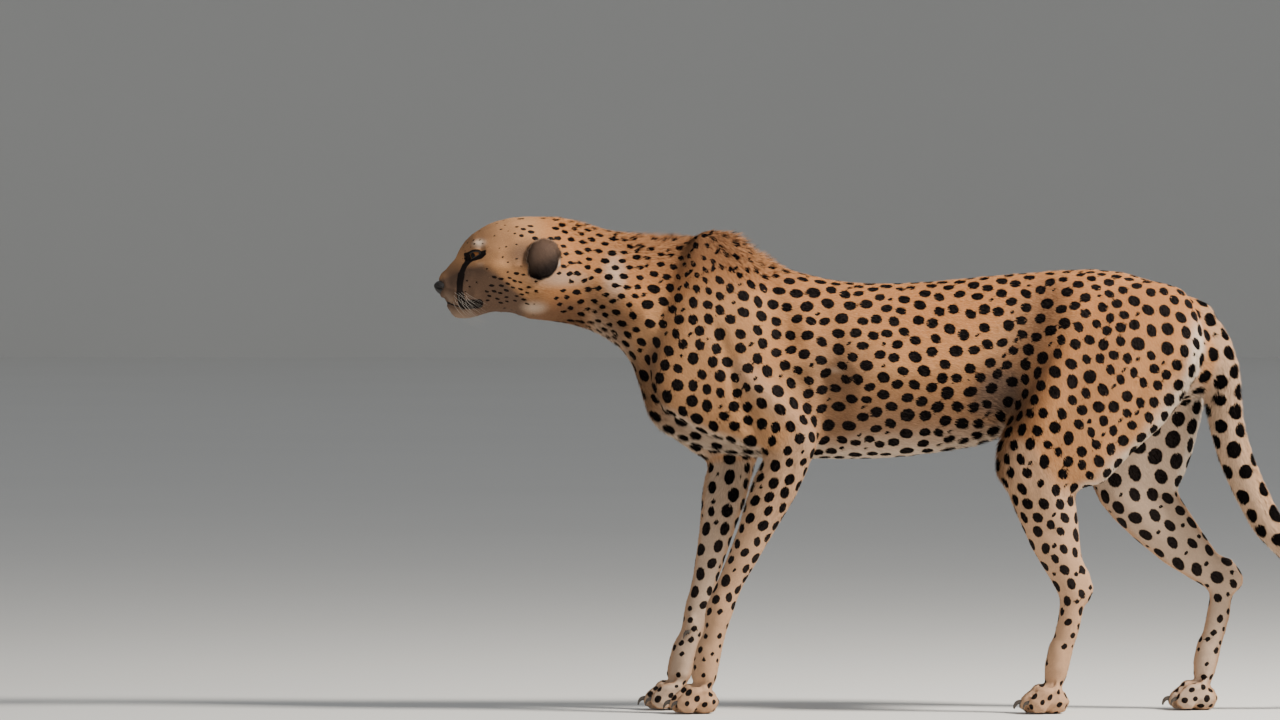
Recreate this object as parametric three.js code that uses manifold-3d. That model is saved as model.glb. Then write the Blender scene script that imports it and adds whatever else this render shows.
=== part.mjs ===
// A cheetah in a slow stalking walk, life size: the solids of a still museum model.
// Millimetres, +Z up. The head points along -X and the animal's left side faces -Y.
// The body, the limbs, the tail and the ears are smooth surfaces over named sections; they are
// then parted with thin gaps into the parts that a person would name.
import * as THREE from 'three';
import { ParametricGeometry } from 'three/addons/geometries/ParametricGeometry.js';
import { mergeVertices } from 'three/addons/utils/BufferGeometryUtils.js';
import Module from 'manifold-3d';

const wasm = await Module();
wasm.setup();

// ---- Driving dimensions ----
const gap = 0.35; // clear space left between two neighbouring parts
const headTurn = THREE.MathUtils.degToRad(9); // the face looks a little towards the left side
const headPivotX = -90; // the neck joint that the head turns about
const turnFrom = -35; // the neck starts to turn here
const turnTo = -125; // and the head is fully turned from here on
const neckCut = { x: -92, z: 655, lean: 14 }; // behind the jaw and the ears; lean in degrees
const chestCut = { x: 4, z: 600, lean: -30 }; // where the neck meets the chest
const loinCut = { x: 405, z: 520, lean: 8 }; // behind the ribs
const rumpCut = { x: 640, z: 560, lean: -12 }; // in front of the pelvis
const mouth = { z: 611, corner: -222 }; // the lip line, and how far back the lower jaw reaches
const eye = { centre: [-244.5, 22.5, 686], radius: 15 };
const lids = { gaze: [-0.74, 0.66, -0.1], inward: [-1, -1, -0.42], width: 24, height: 14 };
const nose = { centre: [-298, 0, 638], size: [12, 16, 11] };
const ear = { centre: [-158, 63, 681], facing: [-0.32, 0.86, 0.36], width: 1.02, height: 1.16 };

// ---- From three.js geometry to a solid and back ----
function solid(geometry) {
  const bare = geometry.clone();
  bare.deleteAttribute('normal');
  bare.deleteAttribute('uv');
  const merged = mergeVertices(bare, 1e-3);
  const corners = merged.index.array;
  const triangles = [];
  for (let i = 0; i < corners.length; i += 3) {
    const [a, b, c] = corners.slice(i, i + 3);
    if (a !== b && b !== c && c !== a) triangles.push(a, b, c);
  }
  const build = (triVerts) => new wasm.Manifold(new wasm.Mesh({
    numProp: 3,
    vertProperties: merged.attributes.position.array,
    triVerts: new Uint32Array(triVerts),
  }));
  const made = build(triangles);
  return made.volume() > 0 ? made : build(triangles.reverse());
}

function geometryOf(made) {
  const mesh = made.getMesh();
  const geometry = new THREE.BufferGeometry();
  geometry.setAttribute('position', new THREE.BufferAttribute(mesh.vertProperties, 3));
  geometry.setIndex(new THREE.BufferAttribute(mesh.triVerts, 1));
  const flat = geometry.toNonIndexed();
  flat.computeVertexNormals();
  return flat;
}

// The largest piece of a solid, without the slivers that a cut can leave.
function largest(made) {
  return made.decompose().reduce((a, b) => (a.volume() > b.volume() ? a : b));
}

// ---- The trunk, neck and head: upright oval sections along X ----
// Reads a table whose first column rises; the curve keeps every row and never swings past it.
function curveThrough(rows) {
  const secant = (i, k) => (rows[i + 1][k] - rows[i][k]) / (rows[i + 1][0] - rows[i][0]);
  const slope = (i, k) => {
    if (i === 0) return secant(0, k);
    if (i === rows.length - 1) return secant(i - 1, k);
    const before = secant(i - 1, k);
    const after = secant(i, k);
    return before * after <= 0 ? 0 : (2 * before * after) / (before + after);
  };
  return (x, k) => {
    let i = 0;
    while (i < rows.length - 2 && rows[i + 1][0] < x) i += 1;
    const span = rows[i + 1][0] - rows[i][0];
    const t = (x - rows[i][0]) / span;
    const rise = rows[i + 1][k] - rows[i][k];
    const bendA = slope(i, k) * span - rise;
    const bendB = rise - slope(i + 1, k) * span;
    return rows[i][k] + t * rise + t * (1 - t) * ((1 - t) * bendA + t * bendB);
  };
}

// Columns: x, height of the back line, height of the underside, then the half width at a quarter,
// at half and at four fifths of the section's height.
const sections = [
  [-305, 637, 637, 0, 0, 0],
  [-302, 650, 624, 12, 15, 12],
  [-296, 657, 617, 18, 22, 14],
  [-289, 663, 603, 24, 29, 16], // lips
  [-279, 682, 593, 29, 35, 18], // whisker pads
  [-272, 697, 590, 31, 38, 22],
  [-264, 708, 589, 33, 41, 28],
  [-254, 718, 590, 35, 45, 36],
  [-240, 727, 594, 38, 53, 42], // brow
  [-220, 737, 599, 43, 61, 47],
  [-195, 743, 598, 48, 67, 48], // cheek bones
  [-165, 745, 588, 50, 66, 47],
  [-135, 744, 585, 50, 63, 45],
  [-105, 740, 582, 50, 60, 42],
  [-70, 732, 571, 51, 59, 41], // neck
  [-30, 722, 545, 53, 61, 39],
  [-12, 719, 519, 50, 61, 38],
  [0, 718, 486, 46, 61, 38], // front of the chest
  [15, 717, 438, 42, 62, 38],
  [30, 716, 419, 44, 65, 38],
  [60, 713, 402, 48, 70, 38],
  [110, 703, 388, 56, 76, 42], // between the shoulder blades
  [165, 688, 381, 62, 82, 50],
  [220, 668, 378, 64, 86, 58],
  [285, 650, 376, 66, 89, 66], // ribs
  [360, 643, 377, 66, 89, 67],
  [440, 647, 384, 60, 82, 62],
  [500, 654, 396, 53, 73, 57], // loin
  [555, 660, 415, 48, 66, 54],
  [610, 665, 440, 46, 65, 55],
  [670, 667, 450, 48, 70, 58], // hips
  [727, 661, 452, 48, 74, 58],
  [780, 645, 458, 46, 70, 53],
  [825, 617, 470, 42, 60, 42],
  [855, 588, 488, 30, 44, 28], // buttocks
  [872, 562, 512, 16, 24, 15],
  [880, 537, 537, 0, 0, 0],
];
const widthLevels = [[0.25, 3], [0.5, 4], [0.8, 5]]; // share of the height, column

// How far apart the rings of the surface stand at x: close on the face, wide on the trunk.
const ringStep = (x) => {
  if (x < -215) return 10;
  if (x < -100) return 18;
  if (x < -40) return 22;
  if (x < 40) return 13;
  return x < 800 ? 50 : 18;
};

function ringPlaces() {
  const places = [sections[0][0]];
  for (let i = 1; i < sections.length; i += 1) {
    const [from] = sections[i - 1];
    const [to] = sections[i];
    const count = Math.max(1, Math.round((to - from) / ringStep((from + to) / 2)));
    for (let k = 1; k <= count; k += 1) places.push(from + ((to - from) * k) / count);
  }
  return places;
}

// Turns a point of the head and upper neck about the neck joint.
function turned(point) {
  const share = THREE.MathUtils.smoothstep(-point.x, -turnFrom, -turnTo);
  const pivot = new THREE.Vector3(headPivotX, 0, 0);
  return point.sub(pivot).applyAxisAngle(new THREE.Vector3(0, 0, 1), headTurn * share).add(pivot);
}

function axialBody(grow = 0) {
  const read = curveThrough(sections);
  const places = ringPlaces();
  const around = 16;
  const surface = (u, v, target) => {
    const ring = Math.round(v * (places.length - 1));
    const x = places[ring];
    const end = ring === 0 ? -grow : grow * (ring === places.length - 1);
    const middle = (read(x, 1) + read(x, 2)) / 2;
    const half = (read(x, 1) - read(x, 2)) / 2;
    const swell = half > 0 ? grow : 0;
    const angle = 2 * Math.PI * u;
    const level = (1 + Math.sin(angle)) / 2;
    const fullness = widthLevels.map(([share, column]) => [
      share, read(x, column) / Math.sqrt(1 - (2 * share - 1) ** 2),
    ]);
    const [lowRow, midRow, highRow] = fullness;
    const [from, to] = level < midRow[0] ? [lowRow, midRow] : [midRow, highRow];
    const blend = THREE.MathUtils.smoothstep(level, from[0], to[0]);
    const halfWidth = THREE.MathUtils.lerp(from[1], to[1], blend) + swell;
    target.set(x + end, halfWidth * Math.cos(angle), middle + (half + swell) * Math.sin(angle));
    turned(target);
  };
  return solid(new ParametricGeometry(surface, around, places.length - 1));
}

// ---- Limbs, tail, toes and claws: oval sections along a bent line ----
// A station is [x, y, z, front, back, side]: its centre, then the half sizes towards the front
// of a hanging limb, towards its back, and to either side. Both ends are closed by a dome that
// takes up the share `cap` of the length.
function limb(stations, { around = 12, rings = 10, cap = 0.16, grow = 0 } = {}) {
  const centres = stations.map(([x, y, z]) => new THREE.Vector3(x, y, z));
  const sizes = stations.map(([, , , front, back, side]) => new THREE.Vector3(front, back, side));
  const path = new THREE.CatmullRomCurve3(centres, false, 'catmullrom', 0.5);
  const girth = new THREE.CatmullRomCurve3(sizes, false, 'catmullrom', 0.5);
  const surface = (u, v, target) => {
    const along = (1 - Math.cos(Math.PI * v)) / 2;
    const centre = path.getPoint(along);
    const tangent = path.getTangent(THREE.MathUtils.clamp(along, 0.001, 0.999));
    const side = new THREE.Vector3(0, 1, 0).addScaledVector(tangent, -tangent.y).normalize();
    const front = side.clone().cross(tangent);
    const toEnd = Math.min(along, 1 - along, cap) / cap;
    const dome = Math.sqrt(Math.max(0, 1 - (1 - toEnd) ** 2));
    const size = girth.getPoint(along).addScalar(grow).multiplyScalar(dome);
    const angle = 2 * Math.PI * u;
    const depth = Math.sin(angle) > 0 ? size.x : size.y;
    target.copy(centre)
      .addScaledVector(side, size.z * Math.cos(angle))
      .addScaledVector(front, depth * Math.sin(angle));
    if (v === 0) target.addScaledVector(tangent, -grow);
    if (v === 1) target.addScaledVector(tangent, grow);
  };
  return solid(new ParametricGeometry(surface, around, rings));
}

// ---- Shoulder and thigh: flat muscle masses, as level sections one above another ----
// A row is [z, front x, back x, middle y, half thickness].
function levelMass(rows, grow = 0) {
  const around = 12;
  const read = curveThrough([...rows].reverse());
  const top = rows[0][0];
  const bottom = rows[rows.length - 1][0];
  const rings = 11;
  const surface = (u, v, target) => {
    const share = (1 - Math.cos(Math.PI * v)) / 2;
    const z = THREE.MathUtils.lerp(top, bottom, 0.35 * v + 0.65 * share);
    const edge = v === 0 || v === 1 ? 0 : 1;
    const angle = 2 * Math.PI * u;
    const middle = (read(z, 1) + read(z, 2)) / 2;
    const depth = edge * ((read(z, 2) - read(z, 1)) / 2 + grow);
    const thickness = edge * (read(z, 4) + grow);
    const square = (wave) => Math.sign(wave) * Math.abs(wave) ** 0.86;
    target.set(
      middle - depth * square(Math.cos(angle)),
      read(z, 3) + thickness * square(Math.sin(angle)),
      z + (v === 0 ? grow : 0) - (v === 1 ? grow : 0),
    );
  };
  return solid(new ParametricGeometry(surface, around, rings));
}

// The same rows on the animal's other side are mirrored in y.
const onSide = (rows, sign) => rows.map(([z, front, back, y, half]) => [z, front, back, sign * y, half]);

const shoulderRows = { // shoulder blade, upper arm and the muscle behind it, down to the elbow
  left: [
    [727, 100, 124, 22, 5], [716, 84, 146, 25, 15], [690, 66, 166, 32, 22], [640, 46, 186, 42, 28],
    [580, 24, 206, 52, 33], [520, 12, 228, 58, 35], [470, 22, 248, 61, 35], [430, 62, 265, 63, 34],
    [405, 140, 270, 66, 30], [388, 190, 266, 69, 24], [380, 216, 250, 70, 12],
  ],
  right: [
    [718, 88, 112, 22, 5], [706, 72, 134, 25, 15], [680, 54, 154, 32, 22], [630, 34, 172, 42, 28],
    [570, 13, 186, 52, 33], [510, 2, 196, 58, 35], [460, 8, 200, 61, 35], [425, 34, 202, 63, 34],
    [395, 62, 184, 66, 30], [376, 98, 174, 69, 24], [366, 122, 162, 70, 12],
  ],
};
const thighRows = { // from the hip down to the knee and the top of the calf
  left: [
    [652, 744, 786, 26, 8], [636, 702, 818, 32, 21], [600, 650, 840, 41, 32], [560, 616, 848, 48, 38],
    [520, 592, 841, 52, 42], [480, 569, 822, 54, 43], [440, 546, 797, 57, 41], [400, 530, 752, 61, 38],
    [370, 529, 722, 64, 35], [348, 534, 702, 66, 30], [328, 550, 684, 67, 19],
  ],
  right: [
    [652, 744, 786, 26, 8], [636, 702, 818, 32, 21], [600, 666, 840, 41, 32], [560, 650, 850, 48, 38],
    [520, 642, 853, 52, 42], [480, 642, 852, 54, 43], [440, 649, 848, 57, 41], [400, 660, 840, 61, 38],
    [362, 670, 828, 64, 35], [332, 678, 814, 66, 30], [308, 694, 792, 67, 19],
  ],
};

// A point a share of the way from joint a to joint b.
const between = (a, b, share) => a.map((value, k) => value + (b[k] - value) * share);
const shifted = (point, x, y, z) => [point[0] + x, point[1] + y, point[2] + z];

// Stations along a chain of joints: each row is [place, front, back, side], where place 0 is the
// first joint, 1 the second, and so on.
function along(joints, rows) {
  return rows.map(([place, ...sizes]) => {
    const i = THREE.MathUtils.clamp(Math.floor(place), 0, joints.length - 2);
    return [...between(joints[i], joints[i + 1], place - i), ...sizes];
  });
}

function forearmMass({ elbow, wrist, ball }, grow) {
  return limb(along([elbow, wrist, ball], [
    [-0.12, 22, 22, 18], [0.06, 36, 32, 27], [0.28, 37, 34, 28], [0.58, 27, 27, 23], [0.86, 21, 21, 20],
    [1.02, 22, 24, 22], [1.35, 18, 18, 21], [1.75, 19, 17, 25], [2.1, 19, 17, 28],
  ]), { grow, around: 9, rings: 12, cap: 0.07 });
}

function shankMass({ knee, hock, ball }, grow) {
  const shank = limb(along([knee, hock, ball], [
    [-0.12, 24, 30, 20], [0.1, 38, 56, 34], [0.32, 41, 62, 34], [0.55, 40, 48, 28], [0.76, 33, 37, 23],
    [0.92, 24, 26, 20], [1.05, 22, 24, 21], [1.35, 18, 18, 18], [1.7, 18, 16, 21], [2.08, 18, 16, 26],
  ]), { grow, around: 9, rings: 12, cap: 0.07 });
  const heel = limb([
    [...shifted(between(knee, hock, 0.74), 14, 0, 4), 12, 12, 9],
    [...shifted(hock, 19, 0, 24), 12, 13, 13],
    [...shifted(hock, 14, 0, -14), 9, 13, 13],
  ], { grow, around: 6, rings: 5 });
  return shank.add(heel);
}

const toes = [ // sideways place, reach in front of the ball of the foot
  { out: -26, reach: 36 },
  { out: -9, reach: 48 },
  { out: 9, reach: 49 },
  { out: 26, reach: 38 },
];

// Where a point of the paw's own frame lies: forward, outward and up from below the ball.
function pawPlace({ ball, splay }) {
  const side = Math.sign(ball[1]);
  return (forward, out, up) => [
    ball[0] - forward * Math.cos(splay) + out * Math.sin(splay),
    ball[1] + side * (forward * Math.sin(splay) + out * Math.cos(splay)),
    up,
  ];
}

const toeBody = (place, { out, reach }, grow = 0) => limb([
  [...place(-8, out * 0.55, 38), 12, 13, 10],
  [...place(reach * 0.5, out * 0.92, 31), 13, 18, 11.5],
  [...place(reach * 0.86, out, 15), 13, 22, 12],
  [...place(reach + 3, out, 9), 8, 10, 9],
], { around: 6, rings: 5, cap: 0.2, grow });

function paw(joints) {
  const place = pawPlace(joints);
  const sole = new THREE.SphereGeometry(1, 8, 6).scale(27, 29, 22).translate(...place(4, 0, 18));
  return toes.reduce((made, toe) => made.add(toeBody(place, toe)), solid(sole));
}

// A claw starts where its toe ends.
function toeClaw(place, toe) {
  const { out, reach } = toe;
  const claw = limb([
    [...place(reach - 4, out, 21), 4.6, 4.6, 3.4],
    [...place(reach + 7, out, 19), 4, 4, 3],
    [...place(reach + 13, out, 12), 2.8, 2.8, 2.1],
    [...place(reach + 15, out, 6), 1.2, 1.2, 1],
  ], { around: 5, rings: 3, cap: 0.12 });
  return claw.subtract(toeBody(place, toe, gap));
}

// The dewclaw and its toe, on the inner side of the foreleg just below the wrist.
function dewclawPlace({ wrist, ball }) {
  const [x, y, z] = between(wrist, ball, 0.2);
  const inward = -Math.sign(ball[1]);
  return (forward, inner, up) => [x - forward, y + inward * inner, z + up];
}

const dewclawToe = (place, grow = 0) => limb([
  [...place(-2, 10, 12), 9, 9, 8], [...place(5, 20, -2), 9, 9, 8], [...place(11, 21, -15), 6, 6, 6],
], { around: 6, rings: 4, grow });

const dewclaw = (place) => limb([
  [...place(8, 21, -12), 3.8, 3.8, 3.2],
  [...place(16, 22, -20), 3.2, 3.2, 2.6],
  [...place(17, 22, -30), 1, 1, 1],
], { around: 5, rings: 3, cap: 0.12 }).subtract(dewclawToe(place, gap));

// ---- Joints of the four limbs. The left foreleg and the right hind leg are set back. ----
const fore = {
  left: { elbow: [236, -72, 404], wrist: [120, -63, 163], ball: [98, -60, 44], splay: 0.06 },
  right: { elbow: [144, 72, 388], wrist: [90, 63, 160], ball: [60, 60, 44], splay: 0.04 },
};
const hind = {
  left: { knee: [567, -68, 400], hock: [650, -64, 176], ball: [622, -60, 42], splay: 0.1 },
  right: { knee: [708, 68, 342], hock: [880, 64, 188], ball: [850, 60, 42], splay: 0.04 },
};
const hindFootCut = 0.2; // share of the way from the hock to the ball of the foot

const tailStations = [ // it hangs from the rump, then lifts at its end
  [822, 0, 600, 22, 22, 22],
  [850, 0, 572, 28, 28, 28],
  [872, 0, 520, 29, 29, 28],
  [878, 1, 453, 29, 28, 27],
  [889, 2, 400, 29, 28, 27],
  [909, 4, 348, 28, 27, 26],
  [942, 7, 283, 27, 26, 26],
  [990, 12, 236, 26, 25, 25],
  [1048, 18, 208, 25, 24, 24],
  [1108, 26, 204, 24, 23, 23],
  [1166, 34, 226, 23, 22, 22],
  [1210, 42, 266, 20, 20, 20],
  [1234, 47, 312, 12, 12, 12],
];
const tailCuts = [3, 6, 9]; // stations where the tail is parted into lengths

// ---- Ears: shallow cups, folded back against the neck ----
const earProfile = [ // radius, depth: over the back, round the rim and down the inside
  [0, 0], [12, 1.5], [21, 6], [27, 13], [29, 20], [26.5, 21], [23.5, 14.5], [17, 8.5], [8, 5.5], [0, 5],
];

function earShell(sign) {
  const points = earProfile.map(([radius, depth]) => new THREE.Vector2(radius, -depth));
  const cup = new THREE.LatheGeometry(points, 10).scale(ear.width, 1, ear.height);
  const facing = new THREE.Vector3(ear.facing[0], sign * ear.facing[1], ear.facing[2]).normalize();
  const across = new THREE.Vector3().crossVectors(facing, new THREE.Vector3(0, 0, 1)).normalize();
  const upright = new THREE.Vector3().crossVectors(across, facing);
  cup.applyMatrix4(new THREE.Matrix4().makeBasis(across, facing, upright));
  const [x, y, z] = ear.centre;
  const back = turned(new THREE.Vector3(x, sign * y, z));
  cup.rotateZ(headTurn);
  facing.applyAxisAngle(new THREE.Vector3(0, 0, 1), headTurn);
  back.addScaledVector(facing, 14);
  return solid(cup.translate(back.x, back.y, back.z));
}

// A ball or an egg at a place on the head, turned with it.
function headBall([x, y, z], size, detail) {
  const at = turned(new THREE.Vector3(x, y, z));
  const ball = new THREE.SphereGeometry(1, detail, Math.round(detail * 0.6)).scale(...size);
  return solid(ball.rotateZ(headTurn).translate(at.x, at.y, at.z));
}

function eyeball(sign, grow = 0) {
  const [x, y, z] = eye.centre;
  return headBall([x, sign * y, z], new Array(3).fill(eye.radius + grow), 10);
}

// The opening between the lids: an oval tube from the middle of the eye outwards.
function lidOpening(sign) {
  const onThisSide = ([x, y, z]) => new THREE.Vector3(x, sign * y, z).normalize();
  const gaze = onThisSide(lids.gaze);
  const upright = new THREE.Vector3().crossVectors(onThisSide(lids.inward), gaze).normalize();
  const along = new THREE.Vector3().crossVectors(gaze, upright);
  const tube = new THREE.CylinderGeometry(0.5, 0.5, 2 * eye.radius, 12).scale(lids.width, 1, lids.height);
  tube.translate(0, eye.radius, 0).applyMatrix4(new THREE.Matrix4().makeBasis(along, gaze, upright));
  const [x, y, z] = eye.centre;
  const at = turned(new THREE.Vector3(x, sign * y, z));
  return solid(tube.rotateZ(headTurn).translate(at.x, at.y, at.z));
}

const nosePad = (grow = 0) => headBall(nose.centre, nose.size.map((half) => half + grow), 10);

// ---- Parting with planes ----
// The plane through a cut's point, leaning by its angle from upright. Keeps the side in front
// of it (towards the head) or behind it, less half the gap.
function partAt(made, { x, z, lean }, keepFront) {
  const angle = THREE.MathUtils.degToRad(lean);
  const normal = [Math.cos(angle), 0, Math.sin(angle)];
  const offset = normal[0] * x + normal[2] * z;
  return keepFront
    ? made.trimByPlane(normal.map((n) => -n), -offset + gap / 2)
    : made.trimByPlane(normal, offset + gap / 2);
}

// Parts a solid across the line from joint a to joint b, at point p; keeps the far or near side.
function partAcross(made, a, b, p, keepFar) {
  const normal = new THREE.Vector3(...b).sub(new THREE.Vector3(...a)).normalize();
  const offset = normal.dot(new THREE.Vector3(...p));
  return keepFar
    ? made.trimByPlane(normal.toArray(), offset + gap / 2)
    : made.trimByPlane(normal.clone().negate().toArray(), -offset + gap / 2);
}

const aboveFloor = (made) => made.trimByPlane([0, 0, 1], 0);

// ---- Assembly ----
const materials = {
  coat: new THREE.MeshStandardMaterial({ color: 0xc79a68, roughness: 0.85, metalness: 0 }),
  paleCoat: new THREE.MeshStandardMaterial({ color: 0xd8c7ae, roughness: 0.85, metalness: 0 }),
  darkCoat: new THREE.MeshStandardMaterial({ color: 0x2a2320, roughness: 0.85, metalness: 0 }),
  nose: new THREE.MeshStandardMaterial({ color: 0x15110f, roughness: 0.5, metalness: 0 }),
  eye: new THREE.MeshStandardMaterial({ color: 0x8a4a14, roughness: 0.08, metalness: 0 }),
  claw: new THREE.MeshStandardMaterial({ color: 0x3a332c, roughness: 0.4, metalness: 0 }),
};

const cheetah = new THREE.Group();
function addPart(name, made, material) {
  const mesh = new THREE.Mesh(geometryOf(largest(made)), materials[material]);
  mesh.name = name;
  cheetah.add(mesh);
}

const sides = [['left', -1], ['right', 1]];
const tail = limb(tailStations, { around: 10, rings: 22, cap: 0.04 });
const tailRoom = limb(tailStations, { around: 10, rings: 22, cap: 0.04, grow: gap });
const bodyRoom = axialBody(gap);
let body = axialBody().subtract(tailRoom).subtract(nosePad(gap));

addPart('nose', nosePad(), 'nose');
for (const [side, sign] of sides) {
  addPart(`eye_${side}`, eyeball(sign), 'eye');
  addPart(`ear_${side}`, earShell(sign).subtract(bodyRoom), 'darkCoat');
  body = body.subtract(eyeball(sign, gap)).subtract(lidOpening(sign));
}

for (const [side, sign] of sides) {
  const joints = fore[side];
  const shoulder = levelMass(onSide(shoulderRows[side], sign));
  const shoulderRoom = levelMass(onSide(shoulderRows[side], sign), gap);
  const place = pawPlace(joints);
  const inner = dewclawPlace(joints);
  const foreleg = forearmMass(joints, 0).add(paw(joints)).add(dewclawToe(inner));
  const lower = aboveFloor(foreleg.subtract(shoulderRoom));
  addPart(`dewclaw_${side}`, dewclaw(inner).subtract(forearmMass(joints, gap)), 'claw');
  for (const [i, toe] of toes.entries()) {
    addPart(`claw_fore_${side}_${i + 1}`, toeClaw(place, toe), 'claw');
  }
  const wristCut = [joints.wrist, joints.ball, joints.wrist];
  addPart(`shoulder_${side}`, shoulder, 'coat');
  addPart(`forearm_${side}`, partAcross(lower, ...wristCut, false), 'coat');
  addPart(`forepaw_${side}`, partAcross(lower, ...wristCut, true), 'coat');
  body = body.subtract(shoulderRoom).subtract(forearmMass(joints, gap));
}

for (const [side, sign] of sides) {
  const joints = hind[side];
  const thighRoom = levelMass(onSide(thighRows[side], sign), gap);
  const place = pawPlace(joints);
  const lower = aboveFloor(shankMass(joints, 0).add(paw(joints)).subtract(thighRoom));
  for (const [i, toe] of toes.entries()) {
    addPart(`claw_hind_${side}_${i + 1}`, toeClaw(place, toe), 'claw');
  }
  const footCut = [joints.hock, joints.ball, between(joints.hock, joints.ball, hindFootCut)];
  addPart(`thigh_${side}`, levelMass(onSide(thighRows[side], sign)).subtract(tailRoom), 'coat');
  addPart(`shank_${side}`, partAcross(lower, ...footCut, false), 'coat');
  addPart(`hindpaw_${side}`, partAcross(lower, ...footCut, true), 'coat');
  body = body.subtract(thighRoom);
}

// The lower jaw is everything under the lip line in front of the corner of the mouth.
const underLips = (made, grow) => made
  .trimByPlane([0, 0, -1], -mouth.z - grow)
  .trimByPlane([-1, 0, 0], -mouth.corner - grow);
addPart('jaw', underLips(body, 0), 'paleCoat');
addPart('head', partAt(body, neckCut, true).subtract(underLips(bodyRoom, gap)), 'coat');
addPart('neck', partAt(partAt(body, neckCut, false), chestCut, true), 'coat');
addPart('chest', partAt(partAt(body, chestCut, false), loinCut, true), 'coat');
addPart('belly', partAt(partAt(body, loinCut, false), rumpCut, true), 'coat');
addPart('rump', partAt(body, rumpCut, false), 'coat');

let tailRest = tail;
for (const [i, station] of tailCuts.entries()) {
  const [before, at, after] = [-1, 0, 1].map((step) => tailStations[station + step].slice(0, 3));
  addPart(`tail_${i + 1}`, partAcross(tailRest, before, after, at, false), 'coat');
  tailRest = partAcross(tailRest, before, after, at, true);
}
addPart(`tail_${tailCuts.length + 1}`, tailRest, 'coat');

// The origin is at floor level, in the middle of the animal's length and breadth.
const extent = new THREE.Box3().setFromObject(cheetah);
const middle = extent.getCenter(new THREE.Vector3());
for (const mesh of cheetah.children) mesh.geometry.translate(-middle.x, -middle.y, -extent.min.z);

export default cheetah;
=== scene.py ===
# A cheetah in a slow stalking walk, life size: skin, coat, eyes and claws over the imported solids.
# Metres, +Z up. The head points along -X and the animal's left side faces -Y.
import math

import bmesh
import bpy
import numpy as np
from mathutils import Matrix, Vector
from mathutils.bvhtree import BVHTree
from mathutils.kdtree import KDTree


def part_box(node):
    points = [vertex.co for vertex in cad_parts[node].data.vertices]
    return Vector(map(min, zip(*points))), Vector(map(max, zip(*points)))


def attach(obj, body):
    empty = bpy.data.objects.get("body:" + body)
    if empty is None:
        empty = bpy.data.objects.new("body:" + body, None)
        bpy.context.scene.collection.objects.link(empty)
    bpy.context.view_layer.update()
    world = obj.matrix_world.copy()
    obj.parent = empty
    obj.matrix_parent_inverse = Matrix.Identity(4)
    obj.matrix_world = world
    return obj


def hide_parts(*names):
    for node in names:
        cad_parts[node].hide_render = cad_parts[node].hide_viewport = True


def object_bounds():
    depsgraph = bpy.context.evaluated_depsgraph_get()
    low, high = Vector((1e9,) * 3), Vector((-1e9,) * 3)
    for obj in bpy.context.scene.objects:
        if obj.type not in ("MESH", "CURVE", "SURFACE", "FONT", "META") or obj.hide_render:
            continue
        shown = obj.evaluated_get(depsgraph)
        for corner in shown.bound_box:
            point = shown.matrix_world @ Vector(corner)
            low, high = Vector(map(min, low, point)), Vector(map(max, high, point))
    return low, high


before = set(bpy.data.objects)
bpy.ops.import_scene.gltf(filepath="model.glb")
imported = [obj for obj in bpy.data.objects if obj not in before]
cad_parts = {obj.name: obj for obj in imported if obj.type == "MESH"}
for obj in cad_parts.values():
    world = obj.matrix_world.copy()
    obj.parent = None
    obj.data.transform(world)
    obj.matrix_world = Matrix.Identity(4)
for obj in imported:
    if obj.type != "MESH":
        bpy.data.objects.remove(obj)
cadLow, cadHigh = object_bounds()
mm = 0.001
up = Vector((0, 0, 1))


def inBox(node, x, y, z):  # a place in a node's box: 0 is its low side, 1 its high side
    low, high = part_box(node)
    return Vector(low[i] + (high[i] - low[i]) * share for i, share in enumerate((x, y, z)))


def centreOf(node):
    return inBox(node, 0.5, 0.5, 0.5)


# The head's own frame: forward, leftward and up from between the fronts of the eyes
betweenEyes = (centreOf("eye_left") + centreOf("eye_right")) / 2
headForward = (centreOf("nose") - betweenEyes) * Vector((1, 1, 0))
headForward.normalize()
headMiddle = betweenEyes - 2.5 * mm * headForward + 1.0 * mm * up
headLeft = up.cross(headForward)
headAxes = np.array([headForward, headLeft, up])


def inHead(points):  # millimetres forward, to the left and up
    return (np.asarray(points) - np.array(headMiddle)) @ headAxes.T / mm


def fromHead(forward, left, rise):
    return headMiddle + (headForward * forward + headLeft * left + up * rise) * mm


# Soft weights, from 1 at the middle to 0 at the rim
def ball(points, centre, radii):
    reach = np.sum(((np.asarray(points) - np.array(centre)) / np.array(radii)) ** 2, axis=1)
    return np.clip(1 - reach, 0, 1) ** 2


def alongLine(points, path):  # distance to a bent line, and the share of its length passed
    points = np.asarray(points, float)
    path = np.array(path, float)
    lengths = np.linalg.norm(np.diff(path, axis=0), axis=1)
    nearest = np.full(len(points), 1e9)
    share = np.zeros(len(points))
    passed = 0.0
    for start, end, length in zip(path[:-1], path[1:], lengths):
        step = end - start
        t = np.clip((points - start) @ step / max(length**2, 1e-18), 0, 1)
        gap = np.linalg.norm(points - start - t[:, None] * step, axis=1)
        closer = gap < nearest
        nearest[closer] = gap[closer]
        share[closer] = (passed + t[closer] * length) / lengths.sum()
        passed += length
    return nearest, share


def lineGap(points, path):
    return alongLine(points, path)[0]


def ramp(values, low, high):  # 0 below low, 1 above high, smooth between
    t = np.clip((values - low) / (high - low), 0, 1)
    return t * t * (3 - 2 * t)


def ridge(gap, reach):  # 1 on a line, 0 from its reach onwards
    return np.clip(1 - (gap / reach) ** 2, 0, 1)


def apart(points, place):
    return np.linalg.norm(points - np.array(place), axis=1)


# A mesh as arrays, with the mean of each point's neighbours
def rowsOf(collection, name, width, kind=float):
    values = np.empty(len(collection) * width, kind)
    collection.foreach_get(name, values)
    return values.reshape(-1, width)


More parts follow.
